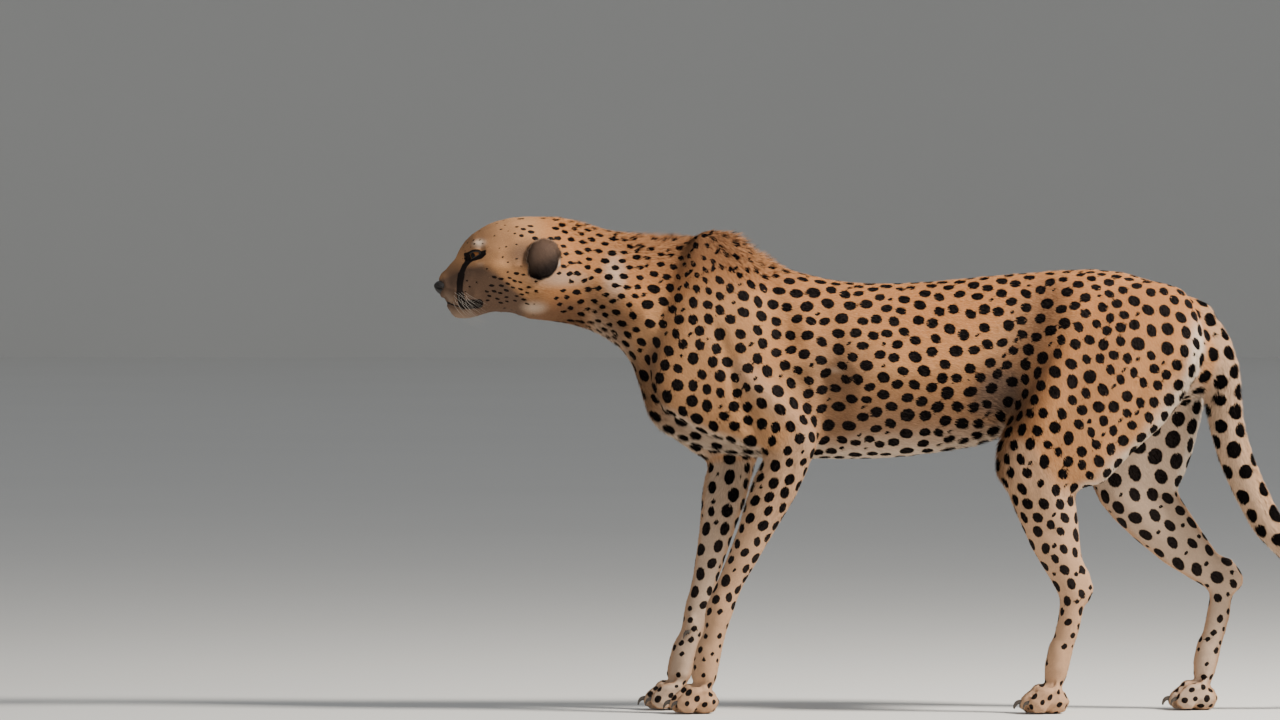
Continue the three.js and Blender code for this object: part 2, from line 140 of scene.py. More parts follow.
class Surface:
    def __init__(self, mesh):
        self.mesh = mesh
        self.count = len(mesh.vertices)
        self.points = rowsOf(mesh.vertices, "co", 3)
        self.normals = rowsOf(mesh.vertex_normals, "vector", 3)
        self.edges = rowsOf(mesh.edges, "vertices", 2, np.int64)
        self.degree = np.bincount(self.edges.ravel(), minlength=self.count)

    def move(self, points):
        self.points = points
        self.mesh.vertices.foreach_set("co", points.astype(np.float32).ravel())
        self.mesh.update()
        self.normals = rowsOf(self.mesh.vertex_normals, "vector", 3)

    def mean(self, values):
        one, two = self.edges.T
        flat = values.reshape(self.count, -1)
        sums = [
            np.bincount(one, column[two], self.count) + np.bincount(two, column[one], self.count)
            for column in flat.T
        ]
        return (np.array(sums) / self.degree).T.reshape(values.shape)

    def blur(self, values, rounds):
        for _ in range(rounds):
            values = 0.5 * (values + self.mean(values))
        return values

    def relax(self, rounds, weight, shares=(0.5,)):
        points = self.points
        for share in shares * rounds:
            points = points + (share * weight)[:, None] * (self.mean(points) - points)
        self.move(points)

    def fair(self, rounds, weight):  # keeps its size: each round shrinks a little, then swells back
        self.relax(rounds, weight, (0.5, -0.53))

    def swell(self, height):
        self.move(self.points + self.normals * height[:, None])


# The skin: one closed surface over all the solids of flesh
skinSizes = dict(overlap=0.6 * mm, voxel=5.2 * mm)  # the solids swell by the overlap, so that they meet
barePieces = ("claw", "dewclaw", "eye", "ear", "nose")
fleshNodes = sorted(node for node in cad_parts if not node.startswith(barePieces))
filledNodes = fleshNodes + ["eye_left", "eye_right", "nose"]


def weldedCopy(bm, node, swell):
    start = len(bm.verts)
    bm.from_mesh(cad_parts[node].data)
    bm.verts.ensure_lookup_table()
    bmesh.ops.remove_doubles(bm, verts=bm.verts[start:], dist=1e-6)
    bm.verts.ensure_lookup_table()
    bm.normal_update()
    for vert in bm.verts[start:]:
        vert.co += vert.normal * swell


def linked(name, mesh):
    made = bpy.data.objects.new(name, mesh)
    bpy.context.scene.collection.objects.link(made)
    return made


def meshOf(name, bm, smooth=True):
    mesh = bpy.data.meshes.new(name)
    bm.to_mesh(mesh)
    bm.free()
    if smooth:
        mesh.shade_smooth()
    return mesh


def evaluated(obj):  # the mesh with its modifiers or bevel worked in
    graph = bpy.context.evaluated_depsgraph_get()
    return bpy.data.meshes.new_from_object(obj.evaluated_get(graph))


def remeshed(name, nodes, voxel, swell):
    bm = bmesh.new()
    for node in nodes:
        weldedCopy(bm, node, swell)
    made = linked(name, meshOf(name, bm, smooth=False))
    modifier = made.modifiers.new("oneSurface", "REMESH")
    modifier.mode = "VOXEL"
    modifier.voxel_size = voxel
    made.data = evaluated(made)
    made.modifiers.clear()
    return made


skin = remeshed("skin", filledNodes, skinSizes["voxel"], skinSizes["overlap"])
print("skin", len(skin.data.vertices), "points")


# Which solid each point of the skin belongs to
def nodeTree(nodes):
    corners, faces, owner = [], [], []
    for node in nodes:
        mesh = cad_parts[node].data
        first = len(corners)
        corners += [vert.co.copy() for vert in mesh.vertices]
        faces += [[first + i for i in poly.vertices] for poly in mesh.polygons]
        owner += [node] * len(mesh.polygons)
    return BVHTree.FromPolygons(corners, faces), owner


solidTree, solidOwner = nodeTree(fleshNodes)


def kindOf(node):  # forearm_left and forearm_right are both a forearm
    return node.split("_")[0]


def nameParts():  # the solid and the kind of part that each point of the skin belongs to
    owners = np.array([solidOwner[solidTree.find_nearest(Vector(point))[2]] for point in surface.points])
    return owners, np.array([kindOf(node) for node in owners])


def perKind(table, rounds):  # each part's value, soft where parts meet
    return surface.blur(np.array([table[kind] for kind in kinds], float), rounds)


def among(names, rounds):  # 1 on the parts that are named
    return surface.blur(np.isin(kinds, names).astype(float), rounds)


softening = dict(  # how far the joins and flats of each part melt away
    head=0.1, jaw=0.1, neck=0.7, chest=1.0, belly=1.0, rump=1.0, shoulder=0.9, thigh=0.9,
    forearm=0.22, shank=0.2, forepaw=0.03, hindpaw=0.03, tail=0.15,
)
surface = Surface(skin.data)
owners, kinds = nameParts()
byTailRoot = ramp(90 * mm - apart(surface.points, inBox("tail_1", 0.1, 0.5, 0.94)), 0, 60 * mm)
surface.relax(120, np.maximum(perKind(softening, 10), 0.9 * byTailRoot))
surface.fair(15, np.ones(surface.count))
print("skin evened")


def nearestOnSolids():
    return np.array([solidTree.find_nearest(Vector(point))[0] for point in surface.points])


def heightOverSolids():
    heights = []
    for point in surface.points:
        near, normal, _, gap = solidTree.find_nearest(Vector(point))
        heights.append(math.copysign(gap, (Vector(point) - near).dot(normal)))
    return np.array(heights)


# A finer mesh on the face and toes, and finer again round the eyes, nose and mouth
def refine(mesh, wanted):
    bm = bmesh.new()
    bm.from_mesh(mesh)
    middles = np.array([face.calc_center_median() for face in bm.faces])
    chosen = wanted(middles, inHead(middles))
    edges = {edge for face, inside in zip(bm.faces, chosen) if inside for edge in face.edges}
    bmesh.ops.subdivide_edges(bm, edges=list(edges), cuts=1, use_grid_fill=True)
    many = [face for face in bm.faces if len(face.verts) > 4]
    bmesh.ops.triangulate(bm, faces=many)
    bm.to_mesh(mesh)
    bm.free()


def mirrored(local):  # both halves of the head on the left one
    return np.column_stack([local[:, 0], np.abs(local[:, 1]), local[:, 2]])


eyeSpot = inHead([centreOf("eye_left")])[0]  # forward, sideways and up, on either side


def byEye(local, reach):
    return apart(mirrored(local), eyeSpot) < reach


def nearLips(local):
    return (local[:, 0] > 18) | ((local[:, 0] > -12) & (local[:, 2] < -60))


toesBelow = 56 * mm
headAbove = 0.5  # the feet, which lie under the face, are left out
refine(skin.data, lambda points, local: (local[:, 0] > -78) | (points[:, 2] < toesBelow))
refine(skin.data, lambda points, local: (byEye(local, 27) | nearLips(local)) & (points[:, 2] > headAbove))
refine(skin.data, lambda points, local: byEye(local, 20) & (np.abs(local[:, 1]) > 18))
surface = Surface(skin.data)
surface.fair(12, ramp(inHead(surface.points)[:, 0], -125, -80))
onToes = ramp(toesBelow - surface.points[:, 2], 0, 18 * mm)
for _ in range(2):
    surface.move(surface.points + (nearestOnSolids() - surface.points) * 0.9 * onToes[:, None])
    surface.fair(2, onToes)
level = surface.points[:, 2] / mm
surface.relax(50, ramp(level, 36, 56) * (1 - ramp(level, 90, 120)))  # the meeting of foot and leg
owners, kinds = nameParts()
print("skin refined", surface.count, "points")

# The skin lies under the solids' faces by the depth of the coat
coatDepth = dict(  # millimetres
    head=1.4, jaw=1.4, neck=2.8, chest=2.8, belly=3.4, rump=2.6, shoulder=2.6, thigh=2.6,
    forearm=1.9, shank=1.9, forepaw=1.1, hindpaw=1.1, tail=3.8,
)
takenBack = dict(share=0.95, hollow=-14 * mm, bulge=2.5 * mm)  # what the softening moved it by
rise = np.clip(surface.blur(heightOverSolids(), 12), takenBack["hollow"], takenBack["bulge"])
surface.swell(-perKind(coatDepth, 12) * mm - takenBack["share"] * rise)
print("skin laid under the coat")

# Muscles, bones and hollows: shares of a node's box, radius and rise in millimetres
forms = dict(
    shoulder=[
        [(0.40, 0.95), (0.14, 0.44), 38, 1.5],  # shoulder blade
        [(0.12, 0.95), (-0.05, 0.52), 34, 13],  # neck where it meets the blade
        [(0.68, 0.88), (0.80, 0.52), 38, -9],  # hollow behind the blade
        [(0.66, 0.34), (0.84, 0.14), 54, 5],  # triceps
        [(0.05, 0.36), (0.10, 0.28), 44, 4.5],  # point of the shoulder
        [(0.40, 0.56), (0.62, 0.12), 19, -6],  # between upper arm and triceps
        [(1.04, 0.62), (1.08, 0.36), 36, -6],  # crease behind the arm
        [(1.08, 0.34), (1.10, -0.02), 38, -17],  # deepest behind the elbow
        [(0.56, 0.36), (0.96, 0.12), 24, 4.5],  # ridge down to the elbow
        [(0.30, 0.08), (0.02, 0.20), 24, -5],  # under the point of the shoulder
    ],
    thigh=[
        [(0.22, 0.96), (0.02, 0.40), 48, -18],  # flank hollow
        [(0.10, 0.66), (-0.02, 0.30), 28, -10],  # fold before the thigh
        [(0.27, 0.98), (0.30, 0.95), 26, 5],  # hip bone
        [(0.38, 0.84), (0.17, 0.22), 34, 6.5],  # front of the thigh
        [(0.84, 0.82), (0.58, 0.24), 24, -3],  # groove before the hamstring
        [(0.07, 0.12), (0.09, 0.08), 32, 4],  # kneecap
        [(0.92, 0.62), (0.96, 0.56), 40, 3.5],  # buttock
    ],
    forearm=[
        [(0.62, 0.86), (0.36, 0.52), 26, 3],  # extensor muscle
        [(0.80, 0.80), (0.52, 0.36), 10, -3],  # groove behind it
        [(0.96, 0.92), (0.99, 0.87), 24, 6],  # point of the elbow
        [(0.10, 0.05), (0.12, 0.03), 20, 2.5],  # wrist
    ],
    shank=[
        [(0.50, 0.84), (0.62, 0.56), 34, 3.5],  # calf
        [(0.72, 0.46), (0.80, 0.22), 12, -5],  # before the heel tendon
        [(0.84, 0.12), (0.86, 0.08), 18, 2.5],  # hock
    ],
)


formFlatness = Vector((1, 0.55, 1))  # forms reach further inwards than along the body


def onBothSides(rows):  # the rows' heights, each as a soft ridge along its line
    total = np.zeros(surface.count)
    for kind, start, end, radius, height in rows:
        for side, outer in (("left", 0), ("right", 1)):
            path = [inBox(kind + "_" + side, x, outer, z) * formFlatness for x, z in (start, end)]
            gap = lineGap(surface.points * np.array(formFlatness), path)
            total += height * ridge(gap, radius * mm) ** 2
    return total


topForms = dict(  # along the middle: place, radii, rise
    mane=[inBox("neck", 1.06, 0.5, 0.86), (0.052, 0.045, 0.045), 8],
    hump=[inBox("shoulder_left", 0.33, 1.0, 1.0), (0.05, 0.04, 0.05), 3],
    behindHump=[inBox("shoulder_left", 0.64, 1.0, 0.92), (0.07, 0.05, 0.05), 6],
    back=[inBox("chest", 0.92, 0.5, 0.79), (0.24, 0.07, 0.06), 3],
    croup=[inBox("rump", 0.5, 0.5, 1.0), (0.16, 0.06, 0.05), 2],
    tailRoot=[inBox("tail_1", 0.18, 0.5, 0.98), (0.042, 0.034, 0.036), 12],
)


def raiseForms():
    top = sum(height * ball(surface.points, place, radii) for place, radii, height in topForms.values())
    return mm * top + mm * onBothSides([(kind, *row) for kind, rows in forms.items() for row in rows])


toeForms = dict(  # lines back from the claws and up, then reach and rise, millimetres
    cleft=[[(-2, 0), (0, 16), (10, 32), (34, 47)], 6.2, -4.6],
    knuckle=[[(1, 14), (8, 25), (26, 33)], 9.0, 2.4],
    instep=[[(26, 56), (34, 72), (42, 92)], 26.0, 6.0],
)


def shapeToes():
    lift = np.zeros(surface.count)
    for node in [name for name in fleshNodes if "paw" in name]:
        kind, side = node.split("_")
        claws = [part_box("claw_%s_%s_%d" % (kind[:4], side, toe)) for toe in (1, 2, 3, 4)]
        roots = sorted((low.y + high.y, high.x) for low, high in claws)
        clefts = [((one[0] + two[0]) / 4, max(one[1], two[1])) for one, two in zip(roots, roots[1:])]
        knuckles = [(wide / 2, front) for wide, front in roots]
        places = dict(cleft=clefts, knuckle=knuckles, instep=clefts[1:2])
        for key, (steps, reach, height) in toeForms.items():
            for sideways, front in places[key]:
                line = [Vector((front + back * mm, sideways, rise * mm)) for back, rise in steps]
                lift += height * mm * ridge(lineGap(surface.points, line), reach * mm)
    return lift


ribs = dict(start=0.52, perLength=11.25, lean=3.15, height=0.5 * mm)  # shares of the chest


def ribLift():
    low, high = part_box("chest")
    back, _, level = ((surface.points - np.array(low)) / np.array(high - low)).T
    wave = np.cos(2 * np.pi * (ribs["perLength"] * (back - ribs["start"]) - ribs["lean"] * level))
    flank = ramp(np.abs(surface.normals[:, 1]), 0.5, 0.9) * ramp(level, 0.1, 0.3)
    length = ramp(back, ribs["start"], 0.616) * (1 - ramp(back, 1.0, 1.12))
    return ribs["height"] * wave * flank * length * (1 - ramp(level, 0.6, 0.85))


surface.swell(raiseForms() + ribLift() + shapeToes())
surface.fair(4, np.ones(surface.count))
print("muscles raised")

# The face, in the head's frame: middle (forward, sideways, up), radii, rise, millimetres
faceForms = dict(
    brow=[(8, 27, 14), (19, 14, 9), 4.2],
    bridgeSide=[(34, 17, -26), (16, 8, 18), -1.4],
    innerCorner=[(19, 22, -8), (11, 9, 10), -2.6],
    underEye=[(-2, 39, -15), (18, 12, 7), 1.6],
    underLid=[(12, 36, -22), (18, 14, 9), -1.8],
    cheekBone=[(-20, 54, -18), (30, 16, 13), 2.8],
    templeHollow=[(-26, 42, 17), (26, 18, 16), -2.4],
    jawMuscle=[(-60, 54, -50), (34, 18, 28), 2.6],
    behindMouth=[(2, 40, -62), (12, 14, 22), -2.0],
    whiskerPad=[(37, 25, -62), (17, 16, 14), 3.4],
    padFurrow=[(20, 35, -58), (8, 12, 17), -2.2],
    philtrum=[(54, 0, -66), (12, 3.4, 12), -2.4],
    chin=[(38, 0, -92), (16, 16, 12), 1.6],
    noseSides=[(46, 16, -44), (9, 8, 12), -1.4],
    bridge=[(46, 0, -27), (24, 15, 26), 4.8],
    noseTop=[(53, 0, -37), (14, 13, 12), 1.8],
    crownSide=[(-72, 32, 24), (48, 22, 22), 4.5],
    earRoot=[(-74, 62, 2), (16, 12, 20), 2.5],
)
mouthLine = dict(
    path=[(53, -66), (50, -73), (42, -78), (28, -81), (12, -79), (0, -75)],  # forward, up
    reach=3.0, depth=2.6,
)
noseSeat = dict(centre=(53, 0, -50), radii=(13, 18, 13), depth=0.3)
eyes = dict(
    radius=14.6, gaze=(0.80, 0.60, -0.06), tilt=-0.42,  # tilt of the opening towards the nose
    wide=0.80, over=0.36, under=0.36,  # the opening, in radii of the eye
    lid=1.8, sunk=2.2, reach=24, rim=1.05,  # millimetres
    dome=0.035, domeEdge=(0.84, 0.97),  # how far the front stands out, in radii, and how far out it starts
)


def unit(vector):
    return np.asarray(vector, float) / np.linalg.norm(vector)


def unitRows(vectors):
    return vectors / np.maximum(np.linalg.norm(vectors, axis=1)[:, None], 1e-9)


def eyeFrame():  # gaze, along the opening towards the nose, and across it
    gaze = unit(eyes["gaze"])
    inward = unit(np.cross(np.cross(gaze, (1, -1, eyes["tilt"])), gaze))
    return gaze, inward, np.cross(inward, gaze) * np.sign(np.cross(inward, gaze)[2])


def openingEdge(along):  # how far the lids stand apart, upper and lower
    bow = np.sqrt(np.clip(1 - (along / eyes["wide"]) ** 2, 0, 1))
    return eyes["over"] * bow, -eyes["under"] * bow * (0.75 + 0.25 * along)


def sculptFace():
    local = mirrored(inHead(surface.points))
    lift = np.zeros(surface.count)
    for centre, radii, height in faceForms.values():
        lift += height * ball(local, centre, radii)
    mouth = ridge(lineGap(local[:, [0, 2]], mouthLine["path"]), mouthLine["reach"])
    lift -= mouthLine["depth"] * ramp(local[:, 0], -8, 4) * mouth
    lift -= noseSeat["depth"] * np.sqrt(ball(local, noseSeat["centre"], noseSeat["radii"]))
    surface.swell(lift * mm * ramp(local[:, 0], -130, -100))


def lidGap(facing, flip):  # how far inside the opening a direction from the eye's middle lies
    _, inward, across = eyeFrame()
    along = facing @ (inward * flip)
    height = facing @ (across * flip)
    above, below = openingEdge(along)
    past = np.abs(along) - eyes["wide"]
    return np.where(past < 0, np.minimum(above - height, height - below), -np.hypot(past, height))


def seatEyes():
    gaze = eyeFrame()[0]
    local = inHead(surface.points)
    for side in (1, -1):
        flip = np.array([1, side, 1])
        centre = eyeSpot * flip
        out = local - centre
        distance = np.linalg.norm(out, axis=1)
        facing = out / distance[:, None]
        sight = facing @ (gaze * flip)
        opened = ramp(lidGap(facing, flip), -0.02, 0.09)
        lidRadius = eyes["radius"] + eyes["lid"]
        near = (distance < eyes["reach"]) & (sight > -0.1)
        hold = ramp(distance, eyes["reach"], eyes["radius"] + 2) * ramp(sight, -0.1, 0.45)
        wanted = lidRadius * (1 - opened) + (eyes["radius"] - eyes["sunk"]) * opened
        settled = distance + hold * (wanted - distance) * np.where(opened > 0, 1, 0.85)
        raised = np.where(opened > 0, settled, np.maximum(settled, wanted * hold + distance * (1 - hold)))
        local = np.where(near[:, None], centre + facing * raised[:, None], local)
    surface.move(local * mm @ headAxes + np.array(headMiddle))


sculptFace()
seatEyes()
headLocal = mirrored(inHead(surface.points))
print("face sculpted")

# Ears: shallow cups with a soft rim
earSizes = dict(voxel=1.8 * mm, rounds=14, swell=0.1 * mm)


def earSurface(side):
    made = remeshed("earSkin_" + side, ["ear_" + side], earSizes["voxel"], 0)
    shell = Surface(made.data)
    shell.relax(earSizes["rounds"], np.full(shell.count, 0.5))
    shell.swell(np.full(shell.count, earSizes["swell"]))
    return made, shell


ears = {side: earSurface(side) for side in ("left", "right")}
print("ears made")


# Lines through the limbs and the tail, for the lie of the coat
def limbLines(side):
    elbow, wrist = inBox("forearm_" + side, 0.8, 0.5, 0.94), inBox("forearm_" + side, 0.14, 0.5, 0.01)
    knee, hock = inBox("shank_" + side, 0.14, 0.5, 0.96), inBox("shank_" + side, 0.80, 0.5, 0.14)
    foreToes, hindToes = inBox("forepaw_" + side, 0.52, 0.5, 0.25), inBox("hindpaw_" + side, 0.54, 0.5, 0.25)
    return {
        "forearm_" + side: (elbow, wrist), "forepaw_" + side: (wrist, foreToes),
        "shank_" + side: (knee, hock), "hindpaw_" + side: (hock, hindToes),
    }


limbs = limbLines("left") | limbLines("right")
tailPath = [  # from the root to the tip, with a place in the middle of each length
    inBox("tail_1", 0.12, 0.5, 0.92), inBox("tail_1", 0.72, 0.5, 0.55),
    Vector(((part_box("tail_1")[1].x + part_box("tail_2")[0].x) / 2, 0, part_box("tail_2")[1].z)),
    inBox("tail_2", 0.38, 0.5, 0.45), inBox("tail_3", 0.06, 0.3, 0.82),
    inBox("tail_3", 0.45, 0.5, 0.28), inBox("tail_4", 0.04, 0.25, 0.18),
    inBox("tail_4", 0.55, 0.5, 0.30), inBox("tail_4", 0.92, 0.8, 1.0),
]
limbs |= {"tail_%d" % (i + 1): (tailPath[2 * i], tailPath[2 * i + 2]) for i in range(4)}

laysTowards = dict(
    neck=(1, 0, -0.12), chest=(1, 0, -0.22), belly=(1, 0, -0.25), rump=(1, 0, -0.35),
    shoulder=(0.6, 0, -0.8), thigh=(0.45, 0, -0.9),
)


def lieOf(points, owners):
    lie = np.zeros((len(points), 3))
    for node in sorted(set(owners)):
        mine = owners == node
        kind = kindOf(node)
        if kind in laysTowards:
            lie[mine] = unit(laysTowards[kind])
        elif kind in ("head", "jaw"):
            lie[mine] = -headAxes[0] - 0.18 * headAxes[2]
        elif kind == "tail":
            path = np.array(tailPath)
            middles = (path[1:] + path[:-1]) / 2
            near = np.argmin(np.linalg.norm(points[mine][:, None] - middles, axis=2), axis=1)
            lie[mine] = unitRows(np.diff(path, axis=0)[near])
        else:
            start, end = limbs[node]
            lie[mine] = unit(end - start)
            if kind.endswith("paw"):
                lie[mine] = unit(unit(end - start) + np.array((-0.9, 0, 0)))
    return lie


def onSurface(vectors, normals):
    flat = vectors - np.sum(vectors * normals, axis=1)[:, None] * normals
    size = np.linalg.norm(flat, axis=1)[:, None]
    return flat / np.maximum(size, 1e-6)


owners, kinds = nameParts()
lie = surface.blur(lieOf(surface.points, owners), 25)
lie = onSurface(surface.blur(onSurface(lie, surface.normals), 6), surface.normals)
print("lie of the coat found")

# Spots: evenly spread places on the skin, each an oval along the lie of the coat
spotRows = dict(  # radius, spacing in millimetres, length over breadth
    head=(1.5, 14, 1.2), jaw=(1.5, 14, 1.0), neck=(6.8, 19.5, 1.25), chest=(12, 30, 1.08),
    belly=(11.4, 30.5, 1.05), rump=(13, 29, 1.05), shoulder=(11.4, 28.5, 1.05), thigh=(13, 29.5, 1.08),
    forearm=(8.4, 26, 1.1), shank=(8.8, 27, 1.15), forepaw=(4.4, 20, 1.0), hindpaw=(4.4, 20, 1.0),
    tail=(13.5, 38, 1.0),
)
spotZones = dict(  # places on the head where they differ: middle, radii, then the same three
    cheek=[(-38, 54, -56), (48, 60, 36), (3.5, 12, 1.5)],
    crown=[(-110, 0, 30), (72, 90, 66), (4.8, 18, 1.25)],
    upperNeck=[(-156, 0, -26), (80, 110, 116), (5.8, 18.5, 1.25)],
)
withersZone = [inBox("shoulder_left", 0.42, 1.0, 1.0), (0.23, 0.16, 0.11), (10.5, 20.5, 1.4)]
withersPlane = 10 * mm  # where that zone is measured, the same for both sides
spotPacking = 0.68  # the least distance between two spots, in mean spacings
spotRoom = 0.88  # the most that a spot takes of half the way to the next one
alongBack = dict(radius=0.2, spacing=0.18)  # smaller and closer over the spine
onInnerLimb = dict(radius=0.15, spacing=0.35)  # larger and further apart there
spotChance = dict(
    seed=11, rounds=5,  # rounds in which the spots settle between each other
    faint=5 * mm, faintKept=0.66, least=3.6 * mm,  # radii
    longer=(0.98, 1.22), varies=0.16, sizes=(0.62, 1.2),
)
smallSpots = dict(gap=26 * mm, clear=2.0, among=7 * mm, kept=0.75, radius=(2.2, 4.2), long=1.1)
rng = np.random.default_rng(spotChance["seed"])
farFromSpot = 3.0  # the distance from a mark, in its half widths, is followed up to here
trunkKinds = ["neck", "chest", "belly", "rump", "shoulder", "thigh"]
spotRadius, spotSpacing, spotLength = perKind(spotRows, 30).T * np.array([[mm], [mm], [1]])
overBack = ramp(surface.blur(surface.normals, 8)[:, 2], 0.5, 0.95) * among(trunkKinds, 8)
innerLimb = surface.blur(ramp(-np.sign(surface.points[:, 1]) * surface.normals[:, 1], 0.1, 0.7), 8)
innerLimb *= among(["thigh", "shank", "forearm"], 8)
spotRadius *= (1 - alongBack["radius"] * overBack) * (1 + onInnerLimb["radius"] * innerLimb)
spotSpacing *= (1 - alongBack["spacing"] * overBack) * (1 + onInnerLimb["spacing"] * innerLimb)
onFront = np.isin(kinds, ["head", "neck", "chest", "shoulder"])


def zoneSpots(points, centre, radii, row):
    there = surface.blur(np.clip(1.6 * onFront * np.sqrt(ball(points, centre, radii)), 0, 1), 6)
    for field, value in zip((spotRadius, spotSpacing, spotLength), (row[0] * mm, row[1] * mm, row[2])):
        field += (value - field) * there


for zone in spotZones.values():
    zoneSpots(headLocal, *zone)
zoneSpots(surface.points * (1, 0, 1) + (0, withersPlane, 0), *withersZone)


def spread(spacing, allowed, order):
    free = allowed.copy()
    chosen = []
    for index in order:
        if not free[index]:
            continue
        chosen.append(index)
        free &= apart(surface.points, surface.points[index]) > spacing[index]
    return np.array(chosen)


def treeOf(points):
    tree = KDTree(len(points))
    for i, point in enumerate(points):
        tree.insert(point, i)
    tree.balance()
    return tree


skinTree = treeOf(surface.points)


def settle(chosen):  # moves each spot to the middle of the skin that is nearest to it
    tree = treeOf(surface.points[chosen])
    nearest = np.array([tree.find(point)[1] for point in surface.points])
    size = np.bincount(nearest, minlength=len(chosen))
    middles = np.array([np.bincount(nearest, axis, len(chosen)) for axis in surface.points.T]).T
    middles /= np.maximum(size, 1)[:, None]
    return np.array([skinTree.find(middle)[1] for middle in middles])


def paintSpots(field, chosen, radii, lengths):
    for index, radius, length in zip(chosen, radii, lengths):
        centre, normal = surface.points[index], surface.normals[index]
        turn = rng.uniform(-0.5, 0.5) if length < 1.3 else rng.uniform(-0.15, 0.15)
        across = np.cross(normal, lie[index])
        long = lie[index] * math.cos(turn) + across * math.sin(turn)
        wide = np.cross(normal, long)
        near = np.array([hit[1] for hit in skinTree.find_range(centre, radius * farFromSpot * length)])
        out = surface.points[near] - centre
        facing = surface.normals[near] @ normal
        size = np.sqrt(
            (out @ long / (radius * length)) ** 2 + (out @ wide * length**0.5 / radius) ** 2
            + (out @ normal / radius * 0.5) ** 2
        )
        size[facing < 0.1] = farFromSpot
        field[near] = np.minimum(field[near], size)


def roomFor(chosen):  # half the way to the next spot
    tree = treeOf(surface.points[chosen])
    return np.array([tree.find_n(surface.points[index], 2)[1][2] / 2 for index in chosen])


def spottedSkin():
    field = np.full(surface.count, farFromSpot)
    order = rng.permutation(surface.count)
    chosen = spread(spotSpacing * spotPacking, np.full(surface.count, True), order)
    for _ in range(spotChance["rounds"]):
        chosen = np.unique(settle(chosen))
    faint = spotRadius[chosen] < spotChance["faint"]
    chosen = chosen[~faint | (rng.random(len(chosen)) < spotChance["faintKept"])]
    behindEars = (headLocal[chosen, 0] < -80) & np.isin(kinds[chosen], ["head", "jaw", "neck"])
    chosen = chosen[~behindEars | (spotRadius[chosen] >= spotChance["least"])]
    lengths = spotLength[chosen] * rng.uniform(*spotChance["longer"], len(chosen))
    varied = np.clip(rng.normal(1.0, spotChance["varies"], len(chosen)), *spotChance["sizes"])
    sizes = np.minimum(spotRadius[chosen] * varied, spotRoom * roomFor(chosen) / lengths)
    paintSpots(field, chosen, sizes, lengths)
    between = (field > smallSpots["clear"]) & (spotRadius > smallSpots["among"])
    small = spread(np.full(surface.count, smallSpots["gap"]), between, order)
    small = small[rng.random(len(small)) < smallSpots["kept"]]
    radii = rng.uniform(*smallSpots["radius"], len(small)) * mm
    paintSpots(field, small, radii, np.full(len(small), smallSpots["long"]))
    print("spots", len(chosen), "and", len(small), "small ones")
    return field


spots = spottedSkin()


# Face markings, in the head's frame as seen from its side: forward and up, half width
faceMarks = dict(
    tearTop=[[(19, -8), (26, -17), (31, -28.5), (34, -43)], 3.3],
    tear=[[(31, -30), (34, -43), (34.4, -56), (32, -68.5), (28, -78)], 4.4],
    tearEnd=[[(34, -58), (31, -70), (27, -77)], 5.6],
    mouthCorner=[[(25, -75), (14, -74.5), (5, -74)], 7.0],
    lidLine=[[(20, -9), (13, -7), (4, -4), (-1, 1)], 2.6],
)
lipMarks = dict(  # as seen from in front: sideways and up, half width
    lip=[[(0, -72), (12, -73.5), (23, -78), (30, -80)], 1.5],
    philtrum=[[(0, -58), (0, -72)], 1.0],
)
lidShade = 0.17  # width of the dark skin round the eye, in radii of the eye


def paintFace(field):
    def darken(near, away):
        near = near & (away < farFromSpot)
        field[near] = np.minimum(field[near], np.maximum(away[near], 0))

    for path, halfWidth in faceMarks.values():
        gap = lineGap(headLocal[:, [0, 2]], path)
        darken((headLocal[:, 0] > -40) & (headLocal[:, 1] > 11), gap / halfWidth)
    for path, halfWidth in lipMarks.values():
        darken(headLocal[:, 0] > 24, lineGap(headLocal[:, 1:], path) / halfWidth)
    out = headLocal - eyeSpot
    byLids = byEye(headLocal, eyes["reach"]) & (out @ eyeFrame()[0] > 0)
    darken(byLids, -lidGap(unitRows(out), np.ones(3)) / lidShade)


tailRings = dict(first=0.66, last=0.97, count=5, halfWidth=9.5 * mm, clear=0.03)


def paintTail(field):
    length = sum((b - a).length for a, b in zip(tailPath[:-1], tailPath[1:]))
    onTail = np.nonzero(kinds == "tail")[0]
    share = alongLine(surface.points[onTail], tailPath)[1]
    field[onTail[share > tailRings["first"] - tailRings["clear"]]] = farFromSpot
    for place in np.linspace(tailRings["first"], tailRings["last"], tailRings["count"]):
        away = np.abs(share - place) * length / tailRings["halfWidth"]
        field[onTail] = np.minimum(field[onTail], away)


def onHead(places):  # the strongest of some soft places: strength, middle, radii and, where flatter, 0.5
    return np.maximum.reduce([
        strength * ball(headLocal, centre, radii) ** (power[0] if power else 1)
        for strength, centre, radii, *power in places
    ])


clearOfDots = [  # lips, bridge of the nose, round the eyes, and under the chin
    (4, (50, 0, -56), (44, 50, 40)), (4, (30, 0, -20), (44, 26, 50)),
    (4, (4, 34, -6), (30, 26, 26)), (4, (20, 0, -95), (60, 50, 22)),
]
spots += onHead(clearOfDots)
paintFace(spots)
paintTail(spots)

